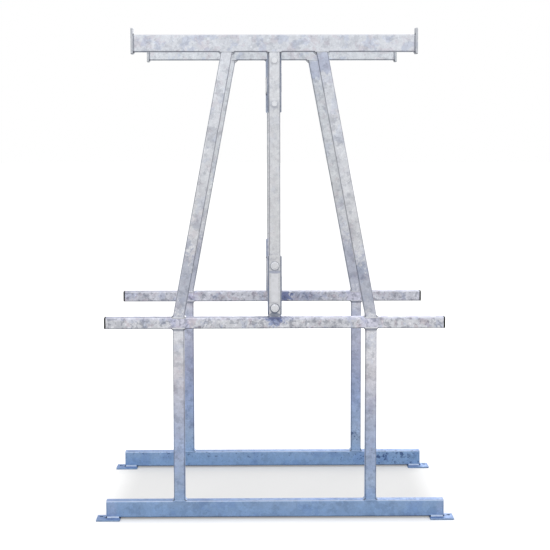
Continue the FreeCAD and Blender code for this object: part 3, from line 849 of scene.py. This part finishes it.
def fillet(start: Vector, end: Vector, first: Vector, second: Vector, leg: float) -> WeldRun:
    """A run in the inner corner between two faces.

    Args:
        start: One end of the corner line.
        end: The other end.
        first: The direction away from the corner along one face.
        second: The same along the other face.
        leg: How far the metal reaches along each face.

    Returns:
        The run.
    """
    outward = (first + second).normalized()
    throat = outward * leg * math.sqrt(0.5)
    half_width = leg * 0.76
    rise = leg * 0.16
    dish = leg * 0.1
    return WeldRun(start + throat, end + throat, outward, half_width, rise, dish)


def start_piece(name: str) -> bpy.types.Object:
    """Starts an empty mesh piece at the origin and opens it in edit mode, to pick vertices.

    Args:
        name: The piece's name.

    Returns:
        The piece.
    """
    bpy.ops.object.select_all(action="DESELECT")
    bpy.ops.object.add(type="MESH", enter_editmode=True, location=(0, 0, 0))
    piece = bpy.context.object
    piece.name = name
    piece.data.name = name
    bpy.ops.mesh.select_mode(type="VERT")
    return piece


def count_vertices(piece: bpy.types.Object) -> int:
    """How many vertices the piece under edit has."""
    return len(bmesh.from_edit_mesh(piece.data).verts)


def pick_vertices(piece: bpy.types.Object, first: int, wanted: Callable[[Vector], bool]) -> None:
    """Selects the vertices that pass a test by place.

    Args:
        piece: The piece under edit.
        first: The number of the first vertex that may be selected.
        wanted: The test, which takes the vertex's place.
    """
    net = bmesh.from_edit_mesh(piece.data)
    for vertex in net.verts:
        vertex.select = vertex.index >= first and wanted(vertex.co)
    net.select_flush_mode()
    bmesh.update_edit_mesh(piece.data)


def cut_rings(piece: bpy.types.Object, first: int, along: Vector, rings: int) -> None:
    """Divides a new bar into rings, by cutting every edge that runs along it.

    Args:
        piece: The piece under edit.
        first: The number of the bar's first vertex.
        along: The bar's direction.
        rings: How many rings it becomes.
    """
    bpy.ops.mesh.select_mode(type="EDGE")
    net = bmesh.from_edit_mesh(piece.data)
    net.verts.index_update()
    for edge in net.edges:
        low, high = edge.verts
        new = low.index >= first and high.index >= first
        edge.select = new and abs((high.co - low.co).normalized().dot(along)) > 0.9
    net.select_flush_mode()
    bmesh.update_edit_mesh(piece.data)
    bpy.ops.mesh.subdivide(number_cuts=rings - 1)
    bpy.ops.mesh.select_mode(type="VERT")


@dataclass(frozen=True)
class WeldBench:
    """Lays weld runs, each a rippled lens-shaped bar that is shaped in edit mode."""

    section_points: int = 16
    ripple_pitch: float = 1.3 * MM
    ripple_depth: float = 0.16 * MM
    wander: float = 0.7 * MM
    wander_size: float = 7 * MM

    def lay(self, name: str, runs: list[WeldRun]) -> bpy.types.Object:
        """Makes one piece out of several runs.

        Args:
            name: The piece's name.
            runs: The runs.

        Returns:
            The piece, at the place of its runs.
        """
        piece = start_piece(name)
        for run in runs:
            self._lay_run(piece, run)
        bpy.ops.object.mode_set(mode="OBJECT")
        return piece

    def _lay_run(self, piece: bpy.types.Object, run: WeldRun) -> None:
        """Adds one run to the piece that is being edited.

        Args:
            piece: The piece.
            run: The run.
        """
        along = run.end - run.start
        length = along.length
        along = along.normalized()
        across = run.outward.cross(along).normalized()
        turn = Matrix((across, run.outward, along)).transposed().to_euler()
        before = count_vertices(piece)
        bpy.ops.mesh.primitive_cylinder_add(
            vertices=self.section_points,
            radius=1.0,
            depth=length,
            location=(run.start + run.end) / 2,
            rotation=turn,
            scale=(run.half_width, run.rise, 1.0),
        )
        rings = max(4, round(length / self.ripple_pitch))
        cut_rings(piece, before, along, rings)
        spacing = length / rings

        def ring_of(point: Vector) -> int:
            """The number of the ring that a point is on."""
            return round((point - run.start).dot(along) / spacing)

        pick_vertices(piece, before, lambda point: ring_of(point) % 2 == 0)
        bpy.ops.transform.shrink_fatten(value=-self.ripple_depth)
        pick_vertices(piece, before, lambda point: ring_of(point) in (0, rings))
        bpy.ops.transform.shrink_fatten(value=-run.rise * 0.4)
        if run.dish:
            crown = run.start.dot(run.outward) + run.rise * 0.45
            pick_vertices(piece, before, lambda point: point.dot(run.outward) > crown)
            bpy.ops.transform.translate(value=-run.outward * run.dish)

    def finish(self, piece: bpy.types.Object, material: bpy.types.Material) -> None:
        """Roughens a placed piece, smooths its shading, dresses it and lets it ride on the stand.

        Args:
            piece: The piece, at its place.
            material: Its finish.
        """
        activate(piece)
        noise = bpy.data.textures.get("weld_wander") or bpy.data.textures.new("weld_wander", "CLOUDS")
        noise.noise_scale = self.wander_size
        uneven = piece.modifiers.new("uneven", "DISPLACE")
        uneven.texture = noise
        uneven.texture_coords = "LOCAL"
        uneven.strength = self.wander
        uneven.mid_level = 0.5
        bpy.ops.object.modifier_apply(modifier=uneven.name)
        bpy.ops.object.shade_smooth_by_angle(angle=math.radians(60))
        settle(piece, material)


def activate(piece: bpy.types.Object) -> None:
    """Makes one object the only selected one and the active one.

    Args:
        piece: The object.
    """
    bpy.ops.object.select_all(action="DESELECT")
    piece.select_set(True)
    bpy.context.view_layer.objects.active = piece


def settle(piece: bpy.types.Object, material: bpy.types.Material) -> None:
    """Dresses a new piece, lets it ride on the stand and reports it.

    Args:
        piece: The piece, at its place.
        material: Its finish.
    """
    piece.data.materials.clear()
    piece.data.materials.append(material)
    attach(piece, BODY)
    LOG.info("piece %s: %d faces", piece.name, len(piece.data.polygons))


def copy_to(model: bpy.types.Object, name: str, move: Matrix) -> bpy.types.Object:
    """Copies a modelled piece, with its own mesh, to another place.

    Args:
        model: The piece to copy.
        name: The copy's name.
        move: Where it goes, as a matrix on the mesh.

    Returns:
        The copy.
    """
    mesh = model.data.copy()
    mesh.name = name
    mesh.transform(move)
    copy = bpy.data.objects.new(name, mesh)
    bpy.context.scene.collection.objects.link(copy)
    return copy


def dress(node: str, material: bpy.types.Material) -> None:
    """Puts a material in a CAD node's slots.

    Args:
        node: The node's name.
        material: Its finish.
    """
    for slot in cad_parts[node].material_slots:
        slot.material = material
    LOG.info("dressed %s in %s", node, material.name)


@dataclass(frozen=True)
class PostWeld:
    """The weld round the end of a square tube that stands on a face as deep as itself.

    Two fillets of the given leg stop corner short of the tube's corners; the flush seams lie seam_drop
    below the joint, sunk into the face, and spread seam_half to either side.
    """

    leg: float
    half_side: float = 20 * MM
    corner: float = 3 * MM
    seam_drop: float = 1.6 * MM
    seam_half: float = 3 * MM
    sunk: float = 0.2 * MM

    def model(self, bench: WeldBench, name: str, back: bool) -> bpy.types.Object:
        """Models it for a post that stands up from the origin.

        Args:
            bench: What lays the runs.
            name: The model's name.
            back: Whether the seam on the back face is there too.

        Returns:
            The modelled weld.
        """
        flat = self.half_side - self.corner
        runs = []
        for sign in (-1, 1):
            foot = X * self.half_side * sign
            runs.append(fillet(foot - Y * flat, foot + Y * flat, X * sign, Z, self.leg))
        reach = X * (self.half_side + self.leg * 0.55)
        for sign in (-1, 1) if back else (-1,):
            middle = Y * (self.half_side - self.sunk) * sign - Z * self.seam_drop
            runs.append(seam(middle - reach, middle + reach, Y * sign, self.seam_half))
        return bench.lay(name, runs)


class PostWeldModels:
    """The modelled welds that the posts and columns share."""

    def __init__(self, bench: WeldBench) -> None:
        """Models a small weld, a large one, and a large one that leaves the back free.

        Args:
            bench: What lays the runs.
        """
        self.small = PostWeld(leg=6 * MM).model(bench, "weld_model_small", True)
        self.large = PostWeld(leg=9 * MM).model(bench, "weld_model_large", True)
        self.open_back = PostWeld(leg=9 * MM).model(bench, "weld_model_open_back", False)

    def clear(self) -> None:
        """Removes the models once every copy is made."""
        for model in (self.small, self.large, self.open_back):
            bpy.data.objects.remove(model)


@dataclass(frozen=True)
class EndFrame:
    """One welded end frame: the finishes of its members and the weld metal between them.

    stop_leg and foot_leg are the fillets' legs, each corner is how far a run stops short of a rounded
    corner, and rim_half, rim_rise and rim_sunk are the flush seam round a rail's end plate.
    """

    row: Row
    stop_leg: float = 4.5 * MM
    stop_corner: float = 3.5 * MM
    foot_leg: float = 5 * MM
    foot_corner: float = 4 * MM
    rim_half: float = 1.7 * MM
    rim_rise: float = 0.7 * MM
    rim_sunk: float = 0.1 * MM
    rim_corner: float = 5 * MM
    finishes: dict[str, GalvanisedFinish] = field(
        default_factory=lambda: {
            "base_rail": RAIL,
            "mid_bar": BAR,
            "centre_column": COLUMN,
            "top_beam": BEAM,
            "rail_end_plate": RAIL,
            "foot_plate": PLATE,
            "lower_post": POST,
            "upper_post": POST,
            "end_stop": END_STOP,
        }
    )

    @property
    def label(self) -> str:
        """The prefix of this frame's node names."""
        return self.row.name.lower()

    def node(self, part: str, side: Side | None = None) -> str:
        """The CAD node's name for a part of this frame."""
        return "_".join([self.label, part] + ([side.name.lower()] if side else []))

    def dress_members(self, materials: dict[str, bpy.types.Material], cap: bpy.types.Material) -> None:
        """Puts each member's finish on it.

        Args:
            materials: The zinc materials by name.
            cap: The end caps' material.
        """
        for part, finish in self.finishes.items():
            single = self.node(part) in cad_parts
            for side in (None,) if single else tuple(Side):
                dress(self.node(part, side), materials[finish.name])
        for side in Side:
            dress(self.node("end_cap", side), cap)

    def middle(self, part: str, side: Side | None, top: bool) -> Vector:
        """The middle of a member's box at its top or bottom face."""
        low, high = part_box(self.node(part, side))
        return Vector(((low.x + high.x) / 2, (low.y + high.y) / 2, high.z if top else low.z))

    def weld_posts(self, bench: WeldBench, models: PostWeldModels, weld: bpy.types.Material) -> None:
        """Welds the posts and the column to the rail, the bar and the beam.

        Args:
            bench: What finishes the welds.
            models: The modelled welds.
            weld: The weld metal's finish.
        """
        over = Matrix.Rotation(math.pi, 4, "Y")
        about = Matrix.Rotation(math.pi, 4, "Z") if self.row is Row.REAR else Matrix.Identity(4)
        for side in Side:
            foot = self.middle("lower_post", side, False)
            head = self.middle("lower_post", side, True)
            low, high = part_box(self.node("upper_post", side))
            leaning_foot = Vector((head.x, head.y, low.z))
            inner = low.x if side is Side.RIGHT else high.x
            leaning_head = Vector((inner + side.value * self._cut_width(low, high) / 2, head.y, high.z))
            places = {
                "lower_post_foot": (foot, False, models.small),
                "lower_post_head": (head, True, models.small),
                "upper_post_foot": (leaning_foot, False, models.small),
                "upper_post_head": (leaning_head, True, models.large),
            }
            for part, (place, upside_down, model) in places.items():
                move = Matrix.Translation(place) @ (over if upside_down else Matrix.Identity(4))
                name = f"{self.label}_weld_{part}_{side.name.lower()}"
                bench.finish(copy_to(model, name, move), weld)
        for part, top, model in (("foot", False, models.small), ("head", True, models.open_back)):
            place = self.middle("centre_column", None, top)
            move = Matrix.Translation(place) @ about @ (over if top else Matrix.Identity(4))
            bench.finish(copy_to(model, f"{self.label}_weld_column_{part}", move), weld)

    @staticmethod
    def _cut_width(low: Vector, high: Vector) -> float:
        """The width of a leaning post's level cut, from its box.

        Args:
            low: The box's lowest corner.
            high: Its highest corner.

        Returns:
            The width along X.
        """
        side = high.y - low.y
        run, rise = high.x - low.x, high.z - low.z
        lean = math.atan2(run - side, rise)
        return side / math.cos(lean)

    def weld_ends(self, bench: WeldBench, weld: bpy.types.Material) -> None:
        """Welds the end stops, the rail's end plates and the foot plates.

        Args:
            bench: What lays the welds.
            weld: The weld metal's finish.
        """
        beam_low, beam_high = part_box(self.node("top_beam"))
        rail_low, rail_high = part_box(self.node("base_rail"))
        for side in Side:
            runs_by_part = {
                "end_stop": self._stop_runs(beam_low, beam_high, side),
                "rail_end": self._rim_runs(rail_low, rail_high, side),
                "foot_plate": self._foot_runs(rail_low, rail_high, side),
            }
            for part, runs in runs_by_part.items():
                name = f"{self.label}_weld_{part}_{side.name.lower()}"
                bench.finish(bench.lay(name, runs), weld)

    def _stop_runs(self, low: Vector, high: Vector, side: Side) -> list[WeldRun]:
        """Four fillets round the end of the top beam, against its end stop.

        Args:
            low: The beam's lowest corner.
            high: Its highest corner.
            side: The end.

        Returns:
            The runs.
        """
        end = high.x if side is Side.RIGHT else low.x
        away = X * -side.value
        inset = self.stop_corner
        runs = []
        for y, face in ((low.y, -Y), (high.y, Y)):
            start, stop = Vector((end, y, low.z + inset)), Vector((end, y, high.z - inset))
            runs.append(fillet(start, stop, face, away, self.stop_leg))
        for z, face in ((low.z, -Z), (high.z, Z)):
            start, stop = Vector((end, low.y + inset, z)), Vector((end, high.y - inset, z))
            runs.append(fillet(start, stop, face, away, self.stop_leg))
        return runs

    def _rim_runs(self, low: Vector, high: Vector, side: Side) -> list[WeldRun]:
        """Three low seams along the joint of the rail and its end plate: front, back and top.

        Args:
            low: The rail's lowest corner.
            high: Its highest corner.
            side: The end.

        Returns:
            The runs.
        """
        end = high.x if side is Side.RIGHT else low.x
        inset, sunk = self.rim_corner, self.rim_sunk
        runs = []
        for y, face in ((low.y + sunk, -Y), (high.y - sunk, Y)):
            start, stop = Vector((end, y, low.z + inset)), Vector((end, y, high.z - inset))
            runs.append(seam(start, stop, face, self.rim_half, self.rim_rise))
        top = high.z - sunk
        start, stop = Vector((end, low.y + inset, top)), Vector((end, high.y - inset, top))
        runs.append(seam(start, stop, Z, self.rim_half, self.rim_rise))
        return runs

    def _foot_runs(self, low: Vector, high: Vector, side: Side) -> list[WeldRun]:
        """The fillets between a foot plate and the rail that stands on it.

        Args:
            low: The rail's lowest corner.
            high: Its highest corner.
            side: The end.

        Returns:
            The runs.
        """
        plate_low, plate_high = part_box(self.node("foot_plate", side))
        end_low, end_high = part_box(self.node("rail_end_plate", side))
        outer = end_high.x if side is Side.RIGHT else end_low.x
        inner = plate_low.x if side is Side.RIGHT else plate_high.x
        inset = self.foot_corner
        forward = plate_low.y < low.y - inset
        edge, facing = (low.y, -Y) if forward else (high.y, Y)
        top = plate_high.z
        outward = X * side.value
        start = Vector((inner, edge, top)) + outward * inset
        stop = Vector((outer, edge, top)) - outward * inset * 0.5
        long_run = fillet(start, stop, facing, Z, self.foot_leg)
        start, stop = Vector((outer, low.y + inset, top)), Vector((outer, high.y - inset, top))
        return [long_run, fillet(start, stop, outward, Z, self.foot_leg)]


@dataclass(frozen=True)
class SpacerBeam:
    """A spacer tube with a bolted flange at each end, and the weld metal between them.

    level says which of the two tubes it is and washer is its washers' finish. The fillets above and
    below the tube have the given leg and stop corner short of its corners; the flush seams at its sides
    spread side_half and stand side_rise proud.
    """

    level: str
    washer: GalvanisedFinish
    leg: float = 6 * MM
    corner: float = 3 * MM
    side_half: float = 3.6 * MM
    side_rise: float = 1.1 * MM
    sunk: float = 0.2 * MM

    def dress_members(self, materials: dict[str, bpy.types.Material]) -> None:
        """Puts the finishes on the tube, the flanges and the fasteners.

        Args:
            materials: The zinc materials by name.
        """
        dress(f"{self.level}_spacer_tube", materials[POST.name])
        for row in Row:
            label = row.name.lower()
            dress(f"{self.level}_spacer_{label}_flange", materials[FLANGE.name])
            for part in ("bolts", "nuts"):
                dress(f"{self.level}_{label}_{part}", materials[BOLT.name])
            for part in ("head_washers", "nut_washers"):
                dress(f"{self.level}_{label}_{part}", materials[self.washer.name])

    def weld_flanges(self, bench: WeldBench, weld: bpy.types.Material) -> None:
        """Welds the tube to both flanges.

        Args:
            bench: What lays the welds.
            weld: The weld metal's finish.
        """
        low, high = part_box(f"{self.level}_spacer_tube")
        for row in Row:
            end = low.y if row is Row.FRONT else high.y
            away = Y * -row.value
            left, right = low.x + self.corner, high.x - self.corner
            runs = []
            for z, face in ((low.z, -Z), (high.z, Z)):
                runs.append(fillet(Vector((left, end, z)), Vector((right, end, z)), face, away, self.leg))
            for x, face in ((low.x, -X), (high.x, X)):
                start = Vector((x, end, low.z - self.leg * 0.5)) - face * self.sunk
                stop = Vector((x, end, high.z + self.leg * 0.5)) - face * self.sunk
                runs.append(seam(start, stop, face, self.side_half, self.side_rise))
            name = f"{self.level}_weld_{row.name.lower()}_flange"
            bench.finish(bench.lay(name, runs), weld)


@dataclass(frozen=True)
class BoltThreads:
    """The thread on the bolt ends that stand out of their nuts.

    crest is the radius of the thread's crests and depth how far its roots lie below them.
    """

    level: str
    row: Row
    pitch: float = 1.75 * MM
    crest: float = 6.25 * MM
    depth: float = 0.5 * MM
    chamfer: float = 1.2 * MM
    points: int = 28

    def build(self, material: bpy.types.Material) -> None:
        """Cuts the thread as a stack of crests on each bolt end.

        Args:
            material: The fasteners' finish.
        """
        label = f"{self.level}_{self.row.name.lower()}"
        bolt_low, bolt_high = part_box(f"{label}_bolts")
        nut_low, nut_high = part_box(f"{label}_nuts")
        if self.row is Row.FRONT:
            start, stop = nut_high.y, bolt_high.y - self.chamfer
        else:
            start, stop = bolt_low.y + self.chamfer, nut_low.y
        middle = (bolt_low.x + bolt_high.x) / 2
        piece = start_piece(f"{label}_bolt_threads")
        for height in self._bolt_heights(label):
            self._thread(piece, Vector((middle, (start + stop) / 2, height)), stop - start)
        bpy.ops.object.mode_set(mode="OBJECT")
        activate(piece)
        bpy.ops.object.shade_smooth_by_angle(angle=math.radians(30))
        settle(piece, material)

    @staticmethod
    def _bolt_heights(label: str) -> tuple[float, float]:
        """The heights of the two bolts, from the box of their round washers.

        Args:
            label: The joint's name.

        Returns:
            The lower and the upper height.
        """
        low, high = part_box(f"{label}_nut_washers")
        radius = (high.x - low.x) / 2
        return low.z + radius, high.z - radius

    def _thread(self, piece: bpy.types.Object, middle: Vector, length: float) -> None:
        """Adds one bolt end's crests to the piece under edit.

        Args:
            piece: The piece.
            middle: The middle of the threaded stretch.
            length: Its length.
        """
        before = count_vertices(piece)
        bpy.ops.mesh.primitive_cylinder_add(
            vertices=self.points,
            radius=self.crest,
            depth=length,
            location=middle,
            rotation=(math.pi / 2, 0, 0),
        )
        rings = 2 * max(2, round(length / self.pitch))
        cut_rings(piece, before, Y, rings)
        start = middle.y - length / 2
        spacing = length / rings
        pick_vertices(piece, before, lambda point: round((point.y - start) / spacing) % 2 == 0)
        bpy.ops.transform.shrink_fatten(value=-self.depth)


@dataclass(frozen=True)
class SoftBox:
    """One large square light: where it hangs, its power in watts and its side."""

    name: str
    place: tuple[float, float, float]
    power: float
    side: float = 3.0

    def hang(self, target: Vector) -> None:
        """Hangs the light, turned towards a point.

        Args:
            target: The point.
        """
        light = bpy.data.lights.new(self.name, "AREA")
        light.energy = self.power
        light.size = self.side
        lamp = bpy.data.objects.new(self.name, light)
        bpy.context.scene.collection.objects.link(lamp)
        lamp.location = self.place
        lamp.rotation_euler = (target - Vector(self.place)).to_track_quat("-Z", "Y").to_euler()
        lamp.visible_camera = False


@dataclass(frozen=True)
class Studio:
    """A plain pale floor, soft light from all round and the camera.

    The floor is white to the camera but for a soft shade under the stand, whose border reaches
    shade_margin past the foot plates. The camera's angles are in degrees.
    """

    floor_size: float = 80.0
    floor_white: Colour = (0.85, 0.85, 0.85, 1.0)
    floor_shade: Colour = (0.53, 0.53, 0.53, 1.0)
    floor_lift: float = 0.26
    floor_bounce: Colour = (0.55, 0.555, 0.565, 1.0)
    shade_margin: float = 0.06
    dome_horizon: float = 0.92
    soft_boxes: tuple[SoftBox, ...] = (
        SoftBox("key_softbox", (-3.0, -5.4, 2.9), 70.0),
        SoftBox("fill_softbox", (3.6, -4.4, 2.2), 50.0),
        SoftBox("back_softbox", (1.5, 5.0, 2.6), 70.0),
    )
    eye: tuple[float, float, float] = (-0.0662, -5.7445, 1.4367)
    pitch_down: float = 4.965
    yaw: float = -0.721
    roll: float = -0.097
    lens: float = 99.55
    shift_y: float = -0.05

    def light_world(self) -> None:
        """Makes the world white to the camera, and to all else a soft dome, brighter overhead."""
        world = bpy.data.worlds.new("studio_dome")
        bpy.context.scene.world = world
        world.use_nodes = True
        graph = Graph(world.node_tree)
        direction = graph.add("ShaderNodeTexCoord").outputs["Generated"]
        upward = graph.add("ShaderNodeSeparateXYZ", {0: direction}).outputs["Z"]
        level = graph.span(upward, -0.1, 0.9, self.dome_horizon, 1.0)
        dome = graph.add("ShaderNodeBackground", {0: WHITE, 1: level})
        plain = graph.add("ShaderNodeBackground", {0: WHITE, 1: 1.0})
        seen = graph.add("ShaderNodeLightPath").outputs["Is Camera Ray"]
        mixed = graph.add("ShaderNodeMixShader", {0: seen, 1: dome.outputs[0], 2: plain.outputs[0]})
        graph.add("ShaderNodeOutputWorld", {0: mixed.outputs[0]})

    def lay_floor(self) -> None:
        """Lays a wide matt floor with a soft shade between the two frames."""
        bpy.ops.object.select_all(action="DESELECT")
        bpy.ops.mesh.primitive_plane_add(size=self.floor_size, location=(0, 0, 0))
        floor = bpy.context.object
        floor.name = "studio_floor"
        material, graph, where = begin_material("pale_floor")
        parts = graph.add("ShaderNodeSeparateXYZ", {0: where}).outputs
        margin = self.shade_margin
        far = CAD_BOX[1]
        wide = graph.span(graph.math("ABSOLUTE", parts[0]), far.x + margin, far.x - margin * 2)
        deep = graph.span(graph.math("ABSOLUTE", parts[1]), far.y + margin, far.y - margin)
        shade = graph.times(wide, deep)
        colour = graph.blend(shade, self.floor_white, self.floor_shade)
        matt = graph.add("ShaderNodeBsdfDiffuse", {"Color": colour})
        lift = graph.add("ShaderNodeEmission", {"Color": WHITE, "Strength": self.floor_lift})
        seen_floor = graph.add("ShaderNodeAddShader", {0: matt.outputs[0], 1: lift.outputs[0]})
        felt_floor = graph.add("ShaderNodeBsdfDiffuse", {"Color": self.floor_bounce})
        seen = graph.add("ShaderNodeLightPath").outputs["Is Camera Ray"]
        shaders = {0: seen, 1: felt_floor.outputs[0], 2: seen_floor.outputs[0]}
        mixed = graph.add("ShaderNodeMixShader", shaders)
        graph.add("ShaderNodeOutputMaterial", {0: mixed.outputs[0]})
        floor.data.materials.append(material)

    def hang_lights(self) -> None:
        """Hangs a key at the front left, a fill at the right and a light behind, all facing the stand."""
        low, high = CAD_BOX
        for soft_box in self.soft_boxes:
            soft_box.hang((low + high) / 2)

    def set_camera(self) -> None:
        """Puts the camera at eye height in front of the stand, looking slightly down."""
        camera = bpy.data.cameras.new("camera")
        camera.lens = self.lens
        camera.shift_y = self.shift_y
        camera.clip_end = 100.0
        holder = bpy.data.objects.new("camera", camera)
        bpy.context.scene.collection.objects.link(holder)
        holder.location = self.eye
        turn = Matrix.Rotation(math.radians(self.yaw), 3, "Z")
        tilt = Matrix.Rotation(math.radians(90 - self.pitch_down), 3, "X")
        bank = Matrix.Rotation(math.radians(self.roll), 3, "Z")
        holder.rotation_euler = (turn @ tilt @ bank).to_euler()
        bpy.context.scene.camera = holder
        bpy.context.scene.view_settings.view_transform = "Standard"


def main() -> None:
    """Builds the stand's visual model and its studio."""
    logging.basicConfig(level=logging.INFO, format="%(message)s")
    groups = EffectGroups()
    zinc = {finish.name: finish.build(groups) for finish in ZINC_FINISHES}
    cap = PlasticFinish().build(groups)
    dress("blank_label_strip", LabelFinish().build(groups))
    dress("lower_joint_plate", zinc[JOINT.name])
    bench = WeldBench()
    weld = zinc[WELD.name]
    models = PostWeldModels(bench)
    for row in Row:
        end_frame = EndFrame(row)
        end_frame.dress_members(zinc, cap)
        end_frame.weld_posts(bench, models, weld)
        end_frame.weld_ends(bench, weld)
        LOG.info("%s frame dressed", end_frame.label)
    models.clear()
    for beam in (SpacerBeam("upper", COLUMN), SpacerBeam("lower", WASHER)):
        beam.dress_members(zinc)
        beam.weld_flanges(bench, weld)
        for row in Row:
            BoltThreads(beam.level, row).build(zinc[BOLT.name])
        LOG.info("%s spacer dressed", beam.level)
    studio = Studio()
    studio.light_world()
    studio.lay_floor()
    studio.hang_lights()
    studio.set_camera()


if __name__ == "__main__":
    main()
